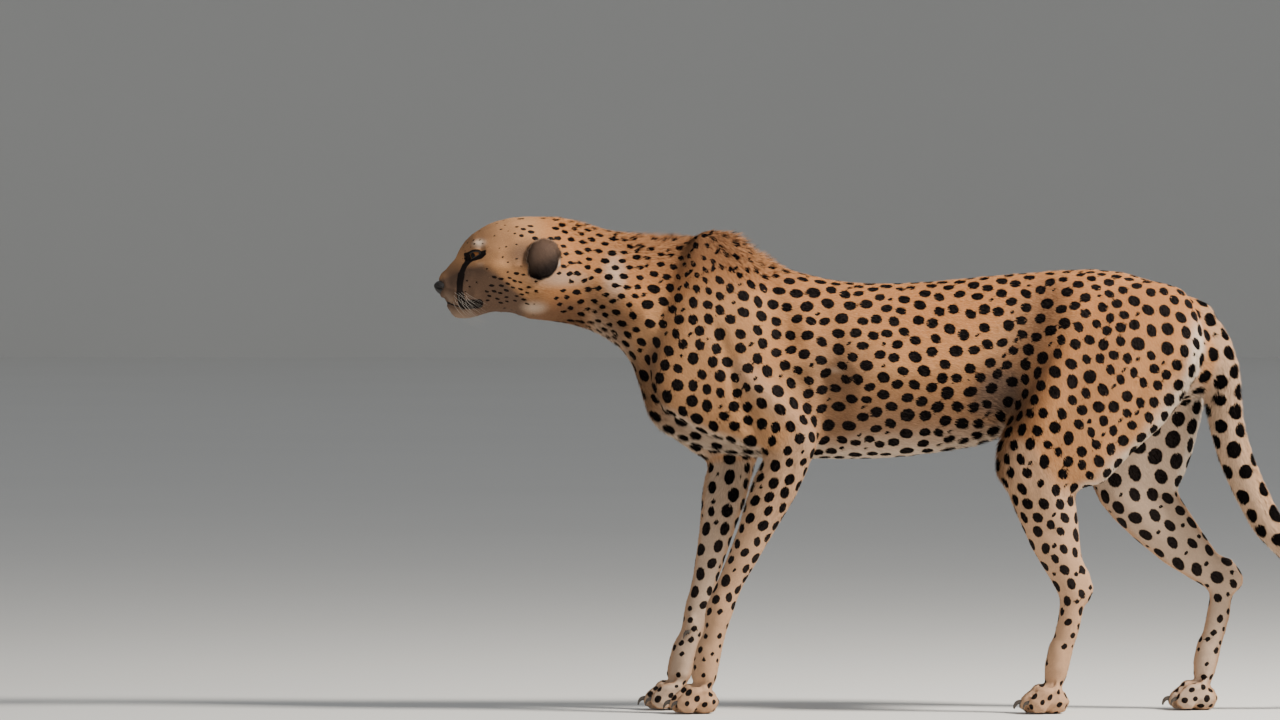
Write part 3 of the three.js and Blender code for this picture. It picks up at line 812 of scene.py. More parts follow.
# Tones of the coat: pale underneath, rich along the back, and darker on the throat and cheeks, where most of
# the dark is painted shade
toneEdges = dict(  # heights and, for the last two, places along the body where a tone fades in or out; the lower flank and breast edges bound painted shade
    lowerFlank=(0.43, 0.53), buttock=(0.55, 0.61), breast=(0.54, 0.63),
    richer=(-0.22, 0.0), tailTip=(cadHigh.x - 0.035, cadHigh.x - 0.012),
)
# the upper edge of the painted shade on the cheek: forward and up, millimetres
cheekEdge = [(-100, -78), (-60, -58), (-37, -39), (-17, -21), (3, -10), (26, -12), (60, -30)]
palePlaces = [
    (0.2, (38, 0, -96), (50, 50, 22)),  # chin
    (0.14, (48, 20, -66), (18, 18, 15)),  # whisker pads
    (0.62, (5, 31, 17), (16, 20, 11)),  # over the eye
    (0.4, (0, 38, -15), (14, 14, 6)),  # under the eye
    (0.6, (-77, 45, -82), (30, 36, 17)),  # corner of the jaw
    (0.4, (-112, 62, -36), (62, 40, 20)),  # below the ear
    (0.5, (-196, 62, -30), (26, 50, 50)),  # side of the neck
]
# darker places on the head, most of them painted shade: strength, middle, radii and, where flatter, 0.5
duskyAndShadedPlaces = [
    (0.9, (40, 14, -36), (42, 36, 40)),  # muzzle: greyer, with painted shade
    (0.75, (-128, 40, -84), (66, 56, 36)),  # throat: painted shade
    (0.85, (-60, 58, 1), (38, 36, 27), 0.5),  # before the ear
    (0.42, (-8, 20, 20), (66, 60, 46), 0.5),  # forehead: painted shade
]
foldShades = [  # painted shade where the coat lies in a fold: part, two places in its box, radius, strength
    ("thigh", (0.26, 0.94), (0.02, 0.44), 66, 0.9),
    ("thigh", (0.02, 0.44), (-0.20, 0.22), 80, 0.9),
    ("shoulder", (1.10, 0.36), (1.18, 0.00), 86, 0.68),
]
litEdges = [("shoulder", (0.54, 0.38), (0.95, 0.12), 32, 0.17)]  # and where it catches the light


def coatTones():
    normals = surface.blur(surface.normals, 8)
    length, width, height = surface.points.T
    inward = ramp(-np.sign(width) * normals[:, 1], 0.2, 0.8)
    isLimb = among(["forearm", "shank", "forepaw", "hindpaw"], 8)
    isThigh = among(["thigh"], 8)
    isTrunk = among(["chest", "belly", "rump", "shoulder", "thigh"], 8)
    isBarrel = among(["chest", "belly"], 12)
    isTail = among(["tail"], 6)
    isNeck = among(["neck"], 12)
    isHead = among(["head", "jaw"], 6)
    isMane = np.sqrt(ball(surface.points * (1, 0, 1), *withersZone[:2]))
    isHind = ramp(length, *toneEdges["richer"])
    facingDown = ramp(-normals[:, 2], 0.3, 0.95)
    facingUp = ramp(normals[:, 2], -0.2, 0.85)
    pale = np.clip(np.maximum.reduce([
        facingDown * (isTrunk * 0.7 + isTail * 0.9 + isNeck * 0.4),
        0.4 * isTail * (1 - facingUp),
        0.9 * isTail * ramp(length, *toneEdges["tailTip"]),
        inward * (isLimb * 0.48 + isThigh * 0.55),
        0.22 * isLimb,
        0.9 * isThigh * ramp(normals[:, 0], 0.2, 0.7) * (1 - ramp(height, *toneEdges["buttock"])),
        onBothSides(litEdges),
        onHead(palePlaces),
    ]), 0, 1)
    cheekLine = np.interp(headLocal[:, 0], *np.array(cheekEdge).T)
    # Darker coat: the cheek, the underside of the head and neck, the front of the breast, the lower flank,
    # the inner limbs and the folds are painted shade; the mane is darker in its own colour
    dusk = np.clip(np.maximum.reduce([
        0.95 * isHead * ramp(cheekLine - headLocal[:, 2], -3, 13) * ramp(headLocal[:, 0], -96, -58),
        0.75 * isHead * ramp(-headLocal[:, 2], 50, 90),
        0.65 * isNeck * ramp(-normals[:, 2], -0.3, 0.5),
        0.66 * isTrunk * ramp(-normals[:, 0], 0.15, 0.85) * (1 - ramp(height, *toneEdges["breast"])),
        0.6 * isMane,
        0.66 * isBarrel * (1 - ramp(height, *toneEdges["lowerFlank"])),
        0.42 * inward * (isLimb + isThigh),
        onBothSides(foldShades),
        onHead(duskyAndShadedPlaces),
    ]), 0, 1)
    rich = (facingUp + 0.36 * isHind) * (isTrunk + isNeck * 1.2) + isNeck * 0.45 + isMane * 0.9
    rich += isHead * 0.9 * ramp(-headLocal[:, 0], 66, 110)
    return pale, np.clip(rich, 0, 1) * (1 - pale), dusk * (1 - 0.8 * pale)


pale, rich, dusk = coatTones()
print("markings painted")


def setValues(mesh, **columns):
    for name, values in columns.items():
        layer = mesh.attributes.new(name, "FLOAT", "POINT")
        layer.data.foreach_set("value", np.asarray(values, np.float32))


marks = dict(spot=spots, pale=pale, rich=rich, dusk=dusk)
setValues(skin.data, **marks)

# How the coat grows: length, width and rise of a tuft in millimetres and degrees
hairRows = dict(  # length, width, rise, tufts in each square centimetre
    head=(5.5, 0.9, 10, 50), jaw=(5, 0.9, 12, 50), neck=(10, 1.25, 11, 30), chest=(10, 1.3, 9, 25),
    belly=(11, 1.3, 10, 24), rump=(9.5, 1.3, 9, 24), shoulder=(9, 1.25, 9, 25), thigh=(9, 1.25, 9, 25),
    forearm=(6.5, 1.1, 9, 28), shank=(6.5, 1.1, 9, 28), forepaw=(5, 0.9, 12, 50),
    hindpaw=(5, 0.9, 12, 50), tail=(13, 1.3, 14, 30),
)
shaggy = dict(  # where it is longer and stands out: part, share of its box, reach, added length and rise
    withers=["shoulder_left", (0.62, 1.0, 0.96), 90, 14, 28],
    mane=["neck", (0.75, 0.5, 1.0), 90, 9, 22],
    nape=["head", (0.85, 0.6, 1.0), 60, 4, 9],
    throat=["neck", (0.2, 0.5, 0.1), 90, 5, 8],
    breast=["chest", (0.05, 0.5, 0.2), 110, 6, 8],
    brisket=["chest", (0.4, 0.5, 0.0), 150, 7, 8],
    groin=["belly", (0.6, 0.5, 0.0), 150, 8, 8],
    buttock=["thigh_left", (1.0, 0.5, 0.5), 80, 5, 10],
    farButtock=["thigh_right", (1.0, 0.5, 0.5), 80, 5, 10],
    tailEnd=["tail_4", (0.9, 0.5, 0.8), 80, 8, 8],
)


faceHair = dict(  # in the head's frame: middle and radii
    muzzle=[(40, 0, -45), (60, 60, 60)], cheek=[(-75, 58, -62), (36, 30, 40)],
    noseLeather=[(55, 0, -50), (15, 19, 17)],
)
hair = dict(zip(("length", "width", "rise"), perKind(hairRows, 14).T))
hair["thick"] = perKind(hairRows, 4)[:, 3]


def shapeHair():
    face, cheek, nose = (ball(headLocal, *place) for place in faceHair.values())
    for field, change in dict(length=-0.55, width=-0.25, thick=0.5).items():
        hair[field] *= 1 + change * face
    hair["length"] += 6 * cheek
    hair["rise"] += 10 * cheek
    for node, place, reach, longer, higher in shaggy.values():
        away = apart(surface.points * (1, 0.7, 1), inBox(node, *place) * Vector((1, 0.7, 1)))
        there = ramp(reach * mm - away, 0, 0.8 * reach * mm)
        hair["length"] += longer * there
        hair["rise"] += higher * there
    fromEye = apart(headLocal, eyeSpot)
    hair["length"] *= 0.5 + 0.5 * ramp(fromEye, 16, 22)  # short on the lids
    hair["thick"][(nose > 0.12) | (fromEye < eyes["radius"] + 0.6)] = 0


shapeHair()


# Tufts: closed slivers, narrow at both ends, that lie along the coat
class Roots:
    def __init__(self, shell, fields, lie, count, chosenFaces=None):
        shell.mesh.calc_loop_triangles()
        corners = rowsOf(shell.mesh.loop_triangles, "vertices", 3, np.int64)
        if chosenFaces is not None:
            corners = corners[chosenFaces(corners)]
        a, b, c = (shell.points[corners[:, k]] for k in range(3))
        area = np.linalg.norm(np.cross(b - a, c - a), axis=1) / 2
        weight = area * fields["thick"][corners].mean(axis=1) * 1e4
        total = np.cumsum(weight)
        self.count = int(total[-1] * count)
        ticks = (np.arange(self.count) + rng.random(self.count)) / self.count * total[-1]
        faces = np.minimum(np.searchsorted(total, ticks), len(corners) - 1)
        one, two = rng.random((2, self.count))
        over = one + two > 1
        one[over], two[over] = 1 - one[over], 1 - two[over]
        self.share = np.column_stack([1 - one - two, one, two])
        self.corners = corners[faces]
        self.places = shell.points[self.corners]
        self.point = self.read(shell.points)
        self.normal = unitRows(self.read(shell.normals))
        self.lie = onSurface(self.read(lie), self.normal)

    def slope(self, values):  # how a value grows along the skin, for each metre
        a, b, c = (self.places[:, k] for k in range(3))
        one, two = b - a, c - a
        cross = np.cross(one, two)
        size = np.maximum(np.linalg.norm(cross, axis=1), 1e-12)[:, None]
        normal = cross / size
        start, first, second = values[self.corners].T[:, :, None]
        return (np.cross(two, normal) * (first - start) + np.cross(normal, one) * (second - start)) / size

    def read(self, values):
        picked = values[self.corners]
        if picked.ndim == 3:
            return np.einsum("ij,ijk->ik", self.share, picked)
        return np.sum(self.share * picked, axis=1)


tuftShape = dict(
    faces=[[0, 2, 1], [0, 3, 2], [0, 1, 3], [1, 2, 3]],  # of root, left, tip and right
    stray=0.13, sizes=(0.75, 1.2), angles=(0.6, 1.45),  # radians, then shares of what was asked
    buried=0.6 * mm, behind=0.4, widest=0.42, bow=-0.25,  # from the place on the skin, and its belly
    ownShade=0.3,  # how much its own shape shows in its shading, against the skin's
    followsSkin=0.85,  # how closely the marks along it keep to those of the skin under it
)


def tuftMesh(name, roots, length, width, rise, values, patch):
    count = roots.count
    stray = rng.normal(0, tuftShape["stray"], count)
    across = np.cross(roots.normal, roots.lie)
    heading = roots.lie * np.cos(stray)[:, None] + across * np.sin(stray)[:, None]
    side = np.cross(roots.normal, heading)
    length = (length * rng.uniform(*tuftShape["sizes"], count) * mm)[:, None]
    width = (width * rng.uniform(*tuftShape["sizes"], count) * mm)[:, None]
    angle = np.radians(rise * rng.uniform(*tuftShape["angles"], count))[:, None]
    axis = heading * np.cos(angle) + roots.normal * np.sin(angle)
    root = roots.point - roots.normal * tuftShape["buried"] - heading * tuftShape["behind"] * length
    belly = root + axis * length * tuftShape["widest"] + np.cross(axis, side) * width * tuftShape["bow"]
    left, right = belly + side * width / 2, belly - side * width / 2
    tufts = np.stack([root, left, root + axis * length, right], axis=1)
    faces = np.array(tuftShape["faces"]) + 4 * np.arange(count)[:, None, None]
    mesh = bpy.data.meshes.new(name)
    mesh.from_pydata(tufts.reshape(-1, 3), [], faces.reshape(-1, 3).tolist(), shade_flat=False)
    away = tufts - roots.point[:, None]
    for field, column in values.items():
        drift = tuftShape["followsSkin"] * np.einsum("ikj,ij->ik", away, roots.slope(column))
        setValues(mesh, **{field: (roots.read(column)[:, None] + drift).ravel()})
    setValues(mesh, tip=np.tile([0.0, 0.45, 1.0, 0.45], count), vary=np.repeat(rng.random(count), 4))
    addPatches(mesh, patch, faces)
    own = unitRows((tufts - tufts.mean(axis=1, keepdims=True)).reshape(-1, 3))
    soft = unitRows(np.repeat(roots.normal, 4, axis=0) + tuftShape["ownShade"] * own)
    mesh.normals_split_custom_set_from_vertices(soft)
    return mesh


patchSize = 0.003


def addPatches(mesh, patch, faces):  # each tuft is a small patch at its root's place
    layer = mesh.uv_layers.new(name="OFBake")
    corner = np.array([[0, -0.5], [-0.5, 0], [0, 0.5], [0.5, 0]]) * patchSize
    places = (patch[:, None] + corner).reshape(-1, 2)
    layer.data.foreach_set("uv", places[faces.ravel()].astype(np.float32).ravel())


# An unwrap of the skin: each part is rolled open round its own axis
def axisOf(node):  # a place on it, its direction, and what is square to its seam
    kind, middle = kindOf(node), np.array(centreOf(node))
    if kind in ("head", "jaw"):
        return middle, headAxes[0], (0, 0, 1)
    if kind in ("neck", "chest", "belly", "rump"):
        return middle, (1, 0, 0), (0, 0, 1)
    if kind in ("tail", "forearm", "shank"):
        start, end = limbs[node]
        return np.array(start), unit(end - start), (0, 1, 0)
    return middle, (0, 0, -1), (0, 1, 0)


def rolledOpen(points, owners, nodes):
    places = np.zeros((len(points), 2))
    for index, node in enumerate(nodes):
        mine = owners == node
        if not mine.any():
            continue
        origin, axis, across = axisOf(node)
        out = points[mine] - origin
        first = unit(np.cross(axis, across))
        second = np.cross(axis, first)
        angle = np.arctan2(out @ second, out @ first) / (2 * np.pi) + 0.5
        radius = np.hypot(out @ first, out @ second)
        onward = out @ np.array(axis) + 0.2 * radius
        onward = (onward - onward.min()) / max(np.ptp(onward), 1e-6)
        places[mine, 0] = (index + 0.03 + 0.94 * angle) / len(nodes)
        places[mine, 1] = 0.01 + 0.98 * onward
    return places


# The coat, in pieces
coatPieces = dict(
    coatHead=["head", "jaw"], coatNeck=["neck"], coatShoulders=["shoulder"], coatChest=["chest"],
    coatBelly=["belly", "rump"], coatThighs=["thigh"], coatForelegs=["forearm", "forepaw"],
    coatHindlegs=["shank", "hindpaw"], coatTail=["tail"],
)
coatShare = 1.0


def coatPiece(name, parts):
    belongs = np.isin(kinds, parts)
    nodes = [node for part in parts for node in fleshNodes if kindOf(node) == part]
    roots = Roots(surface, hair, lie, coatShare, lambda corners: belongs[corners[:, 0]])
    place = rolledOpen(roots.point, owners[roots.corners[:, 0]], nodes)
    sizes = [roots.read(hair[key]) for key in ("length", "width", "rise")]
    mesh = tuftMesh(name, roots, *sizes, marks, place)
    print(name, roots.count, "tufts")
    return linked(name, mesh)


coats = [coatPiece(name, parts) for name, parts in coatPieces.items()]


# Shader maths: a wire is a socket that can be added, multiplied and so on
class Wire:
    def __init__(self, finish, socket):
        self.finish = finish
        self.socket = socket

    def math(self, operation, *others):
        return self.finish.node("ShaderNodeMath", dict(operation=operation), [self, *others])

    def __add__(self, other):
        return self.math("ADD", other)

    def __mul__(self, other):
        return self.math("MULTIPLY", other)

    def __sub__(self, other):
        return self.math("SUBTRACT", other)

    def __rsub__(self, other):
        return self.finish.node("ShaderNodeMath", dict(operation="SUBTRACT"), [other, self])

    __radd__ = __add__
    __rmul__ = __mul__

    def step(self, low, high):  # 0 below low, 1 above high
        sockets = {"Value": self, "From Min": low, "From Max": high}
        return self.finish.node("ShaderNodeMapRange", dict(interpolation_type="SMOOTHSTEP"), sockets)


class Finish:
    def __init__(self, name, **constants):
        self.material = bpy.data.materials.new(name)
        self.material.use_nodes = True
        self.tree = self.material.node_tree
        self.shader = self.tree.nodes["Principled BSDF"]
        for socket, value in constants.items():
            self.shader.inputs[socket.replace("_", " ")].default_value = value

    def plug(self, socket, value):
        if isinstance(value, Wire):
            self.tree.links.new(value.socket, socket)
        else:
            socket.default_value = (*value, 1) if socket.type == "RGBA" and len(value) == 3 else value

    def node(self, kind, settings=None, sockets=(), out=0):
        made = self.tree.nodes.new(kind)
        for name, value in (settings or {}).items():
            setattr(made, name, value)
        pairs = sockets.items() if isinstance(sockets, dict) else enumerate(sockets)
        for key, value in pairs:
            self.plug(made.inputs[key], value)
        return Wire(self, made.outputs[out])

    def field(self, name):
        return self.node("ShaderNodeAttribute", dict(attribute_name=name), out="Fac")

    def place(self):
        return self.node("ShaderNodeTexCoord", out="Object")

    def noise(self, scale, detail=2.0, roughness=0.5):
        sockets = {"Vector": self.place(), "Scale": scale, "Detail": detail, "Roughness": roughness}
        return self.node("ShaderNodeTexNoise", None, sockets, out="Fac")

    def mix(self, share, one, two, blend="MIX"):
        settings = dict(data_type="RGBA", blend_type=blend)
        sockets = {0: share, 6: one, 7: two}
        return self.node("ShaderNodeMix", settings, sockets, out=2)

    def bump(self, height, strength, distance):
        sockets = {"Height": height, "Strength": strength, "Distance": distance}
        return self.node("ShaderNodeBump", None, sockets)

    def feed(self, **wires):
        for socket, wire in wires.items():
            self.plug(self.shader.inputs[socket.replace("_", " ")], wire)
        return self.material


# the dusky colour is both the coat's own dark tone and its painted shade
coatColours = dict(
    tan=(0.50, 0.265, 0.125), rich=(0.46, 0.18, 0.058), pale=(0.72, 0.62, 0.51),
    dusk=(0.07, 0.048, 0.039), dark=(0.004, 0.003, 0.003), tip=(0.70, 0.46, 0.28),
)


def coatGround(finish):  # the coat's colour without its dark marks
    tan = finish.mix(finish.noise(9.0, 3.0) * 0.5, coatColours["tan"], coatColours["rich"])
    warm = finish.mix(finish.field("rich") * 0.85, tan, coatColours["rich"])
    # painted shade, and the coat's own dusky tone, mixed in from the field of that name
    shaded = finish.mix(finish.field("dusk") * 0.92, warm, coatColours["dusk"])
    return finish.mix(finish.field("pale") * 0.9, shaded, coatColours["pale"])


def markShare(finish, blurry):  # 1 inside a dark mark
    ragged = finish.field("spot") + finish.noise(260.0, 2.0) * 0.22 - 0.11
    return 1 - ragged.step(1 - blurry, 1 + blurry)


def furFinish(name, blurry):
    finish = Finish(name, Roughness=0.75, Specular_IOR_Level=0.02)
    bright = finish.field("tip").step(0.5, 1.2) * (0.5 - finish.field("dusk") * 0.3)
    ground = finish.mix(bright, coatGround(finish), coatColours["tip"])
    colour = finish.mix(markShare(finish, blurry), ground, coatColours["dark"])
    shade = finish.field("vary") * 0.34 + 0.78
    grey = finish.node("ShaderNodeCombineColor", None, [shade, shade, shade])
    colour = finish.mix(1.0, colour, grey, "MULTIPLY")
    return finish.feed(Base_Color=colour)


def hideFinish(name, blurry):
    finish = Finish(name, Roughness=0.8, Specular_IOR_Level=0.08)
    fine = finish.noise(700.0, 3.0)
    colour = finish.mix(markShare(finish, blurry), coatGround(finish), coatColours["dark"])
    colour = finish.mix(fine * 0.3, colour, coatColours["dusk"])
    return finish.feed(Base_Color=colour, Normal=finish.bump(fine, 0.5, 0.001))


fur = furFinish("fur", 0.07)
hide = hideFinish("hide", 0.1)
earFur = furFinish("earFur", 0.5)
earHide = hideFinish("earHide", 0.5)


def finished(obj, material, slot, *nodes):
    obj.data.materials.clear()
    obj.data.materials.append(material)
    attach(obj, "root")
    if nodes:
        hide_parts(*nodes)
    return obj


skin.data.shade_smooth()
finished(skin, hide, "coat", *fleshNodes)
for coat in coats:
    finished(coat, fur, "coat")

# Ears: dark backs with a pale rim
def earFields(side, shell):
    middle = shell.points.mean(axis=0)
    outward = np.array(headLeft) * (1 if side == "left" else -1) - 0.35 * np.array(headForward)
    low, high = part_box("ear_" + side)
    height = (shell.points[:, 2] - low.z) / (high.z - low.z)
    rearward = (inHead([middle])[0, 0] - inHead(shell.points)[:, 0]) / 26
    reach = np.hypot(rearward, (height - 0.5) * 2)
    back = ramp(shell.normals @ outward, -0.1, 0.3)
    rim = ramp(reach, 0.78, 0.95) * ramp(rearward - 1.2 * (height - 0.5), 0.2, 0.9)
    crescent = rim * (1 - ramp(height, 0.35, 0.6))
    # the upper part of the ear's back is browner and lighter: partly its own colour, partly a painted sheen
    lit = ramp(height - 0.25 * rearward, 0.1, 0.85)
    soot = np.clip(back * (1 - crescent), 0, 1)
    return dict(
        spot=farFromSpot + (0.55 + 0.9 * lit - farFromSpot) * soot,
        pale=np.maximum(0.8 * crescent, 0.45 * (1 - back)), rich=0.6 * lit,
        dusk=0.4 + 0.62 * soot, edge=ramp(reach, 0.7, 1.0),
    )


for side, (ear, shell) in ears.items():
    values = earFields(side, shell)
    edge = values.pop("edge")
    setValues(ear.data, **values)
    ear.data.shade_smooth()
    finished(ear, earHide, "dark_coat", "ear_" + side)
    fields = dict(thick=70 + 60 * edge)
    backward = np.tile(-headAxes[0] + 0.45 * headAxes[2], (shell.count, 1))
    roots = Roots(shell, fields, backward, coatShare)
    fringe = roots.read(edge)
    place = rolledOpen(roots.point, np.full(roots.count, "ear_" + side), ["ear_" + side])
    name = "coatEar_" + side
    mesh = tuftMesh(name, roots, 4.5 + 3.5 * fringe, 0.8, 12 + 14 * fringe, values, place)
    finished(linked(name, mesh), earFur, "dark_coat")
print("ears dressed")


# Eyes: amber, with a round pupil, domed in front
def eyeFinish():
    finish = Finish("eye", Roughness=0.15, Specular_IOR_Level=0.15, Coat_Weight=0.06, Coat_Roughness=0.03)
    sight = finish.field("sight")
    streaks = finish.noise(900.0, 2.0)
    iris = finish.mix(streaks, (0.30, 0.11, 0.022), (0.14, 0.045, 0.009))
    ringed = finish.mix(1 - sight.step(0.70, 0.80), iris, (0.025, 0.012, 0.006))
    colour = finish.mix(sight.step(0.955, 0.962), ringed, (0.004, 0.004, 0.005))
    return finish.feed(Base_Color=colour)


def eyeBall(side, sign, material):
    flip = np.array([1, sign, 1])
    centre = Vector(fromHead(*(eyeSpot * flip)))
    sightLine = Vector((eyeFrame()[0] * flip) @ headAxes)
    bm = bmesh.new()
    bmesh.ops.create_uvsphere(bm, u_segments=48, v_segments=32, radius=eyes["radius"] * mm)
    turn = up.rotation_difference(sightLine)
    bmesh.ops.rotate(bm, verts=bm.verts, cent=(0, 0, 0), matrix=turn.to_matrix())
    for vert in bm.verts:
        front = vert.co.normalized().dot(sightLine)
        vert.co *= 1 + eyes["dome"] * float(ramp(front, *eyes["domeEdge"]))
    bmesh.ops.translate(bm, verts=bm.verts, vec=centre)
    mesh = meshOf("eyeball_" + side, bm)
    out = np.array([vert.co - centre for vert in mesh.vertices])
    setValues(mesh, sight=unitRows(out) @ np.array(sightLine))
    finished(linked(mesh.name, mesh), material, "eye", "eye_" + side)


def lidRim(side, sign, material):  # the dark edge of the lids
    gaze, inward, across = eyeFrame()
    flip = np.array([1, sign, 1])
    steps = np.cos(np.linspace(0, np.pi, 20)) * eyes["wide"]
    above, below = openingEdge(steps)
    loop = list(zip(steps, above)) + list(zip(steps[::-1], below[::-1]))[1:-1]
    curve = bpy.data.curves.new("lidRim", "CURVE")
    curve.dimensions = "3D"
    curve.bevel_depth = eyes["rim"] * mm
    curve.bevel_resolution = 3
    spline = curve.splines.new("POLY")
    spline.points.add(len(loop) - 1)
    spline.use_cyclic_u = True
    for point, (along, height) in zip(spline.points, loop):
        depth = math.sqrt(max(0.0, 1 - along**2 - height**2))
        facing = (inward * along + across * height + gaze * depth) * flip
        place = eyeSpot * flip + facing * (eyes["radius"] + 0.7)
        point.co = (*fromHead(*place), 1)
    made = linked("lidRim_" + side, curve)
    rim = linked("lids_" + side, evaluated(made))
    bpy.data.objects.remove(made)
    rim.data.shade_smooth()
    finished(rim, material, "dark_coat")


def leatherFinish():
    finish = Finish("leather", Roughness=0.58, Specular_IOR_Level=0.35)
    sockets = {"Vector": finish.place(), "Scale": 900.0}
    grain = finish.node("ShaderNodeTexVoronoi", None, sockets, out="Distance")
    colour = finish.mix(grain, (0.008, 0.007, 0.007), (0.03, 0.024, 0.022))
    return finish.feed(Base_Color=colour, Normal=finish.bump(grain, 0.5, 0.0006))


eyeAmber = eyeFinish()
leather = leatherFinish()
for side, sign in (("left", 1), ("right", -1)):
    eyeBall(side, sign, eyeAmber)
    lidRim(side, sign, leather)

# Nose: leathery pad with comma-shaped nostrils
noseShape = dict(
    size=(12.0, 15.8, 13.2), narrowing=0.5, lean=0.3, flatTop=0.26,
    nostril=[(9, 6.5, 1.5), (8, 10.5, -1.5), (2, 14, -2.5)], nostrilWidth=3.4, nostrilDepth=4.2,
    furrow=1.4,
)


def makeNose():
    bm = bmesh.new()
    bmesh.ops.create_uvsphere(bm, u_segments=72, v_segments=48, radius=1)
    points = np.array([vert.co for vert in bm.verts])
    points *= 1 - noseShape["narrowing"] * ramp(-points[:, 2], -0.1, 1.0)[:, None] * (0, 1, 0)
    points[:, 2] *= 1 - noseShape["flatTop"] * (points[:, 2] > 0)
    points[:, 0] += noseShape["lean"] * np.minimum(points[:, 2], 0.2)
    points *= noseShape["size"]
    normals = unitRows(points / np.array(noseShape["size"]) ** 2)
    half = points * (1, 0, 1) + np.abs(points) * (0, 1, 0)
    gap, share = alongLine(half, noseShape["nostril"])
    width = noseShape["nostrilWidth"] * (1 - 0.6 * share)
    points -= normals * (noseShape["nostrilDepth"] * ridge(gap, width) ** 0.7)[:, None]
    middle = np.exp(-((points[:, 1] / 1.3) ** 2)) * ramp(points[:, 0], 0, 6)
    points -= normals * (noseShape["furrow"] * middle)[:, None]
    centre = inHead([centreOf("nose")])[0]
    for vert, point in zip(bm.verts, points):
        vert.co = fromHead(*(centre + point))
    bmesh.ops.recalc_face_normals(bm, faces=bm.faces)
    finished(linked("noseLeather", meshOf("noseLeather", bm)), leather, "nose", "nose")


makeNose()


# Whiskers: thin tapering hairs from the pads, bent backwards
whiskers = dict(
    rows=4, inRow=4, front=(42, -57), step=(-5.5, -4.4),  # forward and up, millimetres
    length=(28, 54), thickness=0.26, joints=7,
)


def drawOut(bm, around, rings):  # a bent bar; each ring has a middle and two half widths
    made = bmesh.ops.create_circle(bm, cap_ends=True, segments=around, radius=1)
    end = made["verts"][0].link_faces[0]
    for ring, (middle, one, two) in enumerate(rings):
        if ring:
            grown = bmesh.ops.extrude_face_region(bm, geom=[end])["geom"]
            if ring > 1:
                bmesh.ops.delete(bm, geom=[end], context="FACES_ONLY")
            end = next(part for part in grown if isinstance(part, bmesh.types.BMFace))
        for corner, vert in enumerate(end.verts):
            angle = 2 * math.pi * corner / around
            vert.co = middle + one * math.cos(angle) + two * math.sin(angle)


def makeWhiskers(finish):
    hull = BVHTree.FromPolygons([v.co for v in skin.data.vertices], [p.vertices for p in skin.data.polygons])
    bm = bmesh.new()
    shares = np.linspace(0, 1, whiskers["joints"])
    for side, row, place in np.ndindex(2, whiskers["rows"], whiskers["inRow"]):
        outward = headLeft * (1, -1)[side]
        forward = whiskers["front"][0] + whiskers["step"][0] * place + rng.uniform(-1, 1)
        rise = whiskers["front"][1] + whiskers["step"][1] * row + rng.uniform(-0.8, 0.8)
        beside = fromHead(forward, 0, rise) + 80 * mm * outward
        root = hull.ray_cast(beside, -outward)[0]
        length = rng.uniform(*whiskers["length"]) * mm
        start = (headForward * 0.1 + outward * 0.9 - up * (0.1 + 0.15 * row)).normalized()
        bend = -headForward * 0.75 - up * 0.3
        rings = []
        for t in shares:
            radius = whiskers["thickness"] * mm * (1 - 0.9 * t)
            rings.append((root + (start * t + bend * t * t) * length, up * radius, headForward * radius))
        drawOut(bm, 3, rings)
    bmesh.ops.recalc_face_normals(bm, faces=bm.faces)
    finished(linked("whiskers", meshOf("whiskers", bm)), finish, "pale_coat")


def whiskerFinish():
    finish = Finish("whisker", Roughness=0.4)
    return finish.feed(Base_Color=(0.46, 0.41, 0.35))


makeWhiskers(whiskerFinish())


# Claws: dark horn, curved down to a blunt point
clawShape = dict(
    root=(1.05, 0.5, 0.62), bend=(0.26, 0.5, 0.80), point=(0.14, 0.5, 0.08),  # shares of its box
    rings=9, around=10, bluntness=0.7, depth=1.35,  # depth in widths
)


def hornFinish():
    finish = Finish("horn", Roughness=0.35, Specular_IOR_Level=0.5)
    colour = finish.mix(finish.noise(300.0), (0.035, 0.026, 0.02), (0.10, 0.078, 0.06))
    return finish.feed(Base_Color=colour)


def makeClaw(node, finish):
    low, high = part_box(node)
    root, bend, point = (inBox(node, *clawShape[key]) for key in ("root", "bend", "point"))
    sideways = Vector((0, 1, 0))
    rings = []
    for t in np.linspace(0, 1, clawShape["rings"]):
        middle = root * (1 - t) ** 2 + bend * (2 * t * (1 - t)) + point * t * t
        along = (bend - root) * (1 - t) + (point - bend) * t
        wide = (high.y - low.y) / 2 * (1 - 0.92 * t) ** clawShape["bluntness"]
        deep = clawShape["depth"] * wide
        rings.append((middle, sideways * wide, along.cross(sideways).normalized() * deep))
    bm = bmesh.new()
    drawOut(bm, clawShape["around"], rings)
    bmesh.ops.recalc_face_normals(bm, faces=bm.faces)
    finished(linked("horn_" + node, meshOf("horn_" + node, bm)), finish, "claw", node)


horn = hornFinish()
for node in [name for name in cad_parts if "claw" in name]:
    makeClaw(node, horn)
print("face and claws finished")

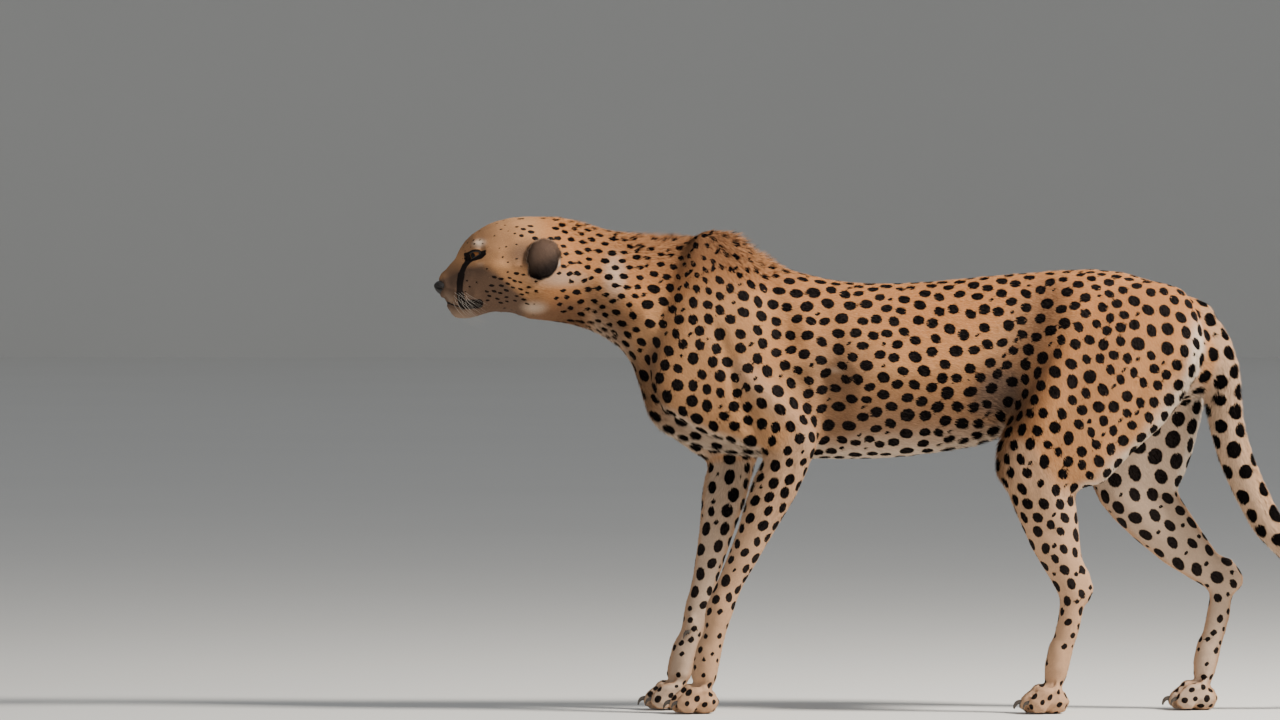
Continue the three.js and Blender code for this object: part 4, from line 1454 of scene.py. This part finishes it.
# Floor, light and camera
studio = dict(
    wide=1.92, ahead=0.652, height=0.528, eyeLevel=0.85, distance=18.0,  # the framing, in metres
    floor=(0.76, 0.745, 0.71), ground=30, wall=20, sky=(0.86, 0.90, 0.95, 1), skyStrength=0.36,
    key=[(2.8, -1.35, 2.9), 0.8, 440, (1.0, 0.955, 0.88)],  # from the middle, size, watts, colour
    fill=[(-2.4, -3.5, 1.6), 3.0, 22, (0.92, 0.96, 1.0)],
)


def makeStage():
    bm = bmesh.new()
    bmesh.ops.create_grid(bm, x_segments=8, y_segments=8, size=studio["ground"])
    rear = studio["ground"] - 0.1
    back = [edge for edge in bm.edges if all(vert.co.y > rear for vert in edge.verts)]
    risen = bmesh.ops.extrude_edge_only(bm, edges=back)["geom"]
    rim = [part for part in risen if isinstance(part, bmesh.types.BMVert)]
    bmesh.ops.translate(bm, verts=rim, vec=up * studio["wall"])
    finish = Finish("floor", Roughness=0.9)
    colour = finish.mix(finish.noise(0.8), studio["floor"], tuple(0.96 * c for c in studio["floor"]))
    floor = linked("floor", meshOf("floor", bm, smooth=False))
    floor.data.materials.append(finish.feed(Base_Color=colour))


def lamp(name, place, size, energy, colour):
    light = bpy.data.lights.new(name, "AREA")
    light.size = size
    light.energy = energy
    light.color = colour
    made = linked(name, light)
    made.location = (cadLow + cadHigh) / 2 + Vector(place)
    made.rotation_euler = (-Vector(place)).to_track_quat("-Z", "Y").to_euler()


def makeCamera():
    lens = bpy.data.cameras.new("camera")
    made = linked("camera", lens)
    lens.lens = lens.sensor_width * studio["distance"] / studio["wide"]
    lens.clip_end = 200
    aim = Vector((cadLow.x - studio["ahead"] + studio["wide"] / 2, 0, studio["height"]))
    made.location = (aim.x, -studio["distance"], studio["eyeLevel"])
    made.rotation_euler = (aim - made.location).to_track_quat("-Z", "Y").to_euler()
    bpy.context.scene.camera = made


makeStage()
lamp("key", *studio["key"])
lamp("fill", *studio["fill"])
world = bpy.data.worlds.new("studio")
world.use_nodes = True
world.node_tree.nodes["Background"].inputs["Color"].default_value = studio["sky"]
world.node_tree.nodes["Background"].inputs["Strength"].default_value = studio["skyStrength"]
bpy.context.scene.world = world
makeCamera()
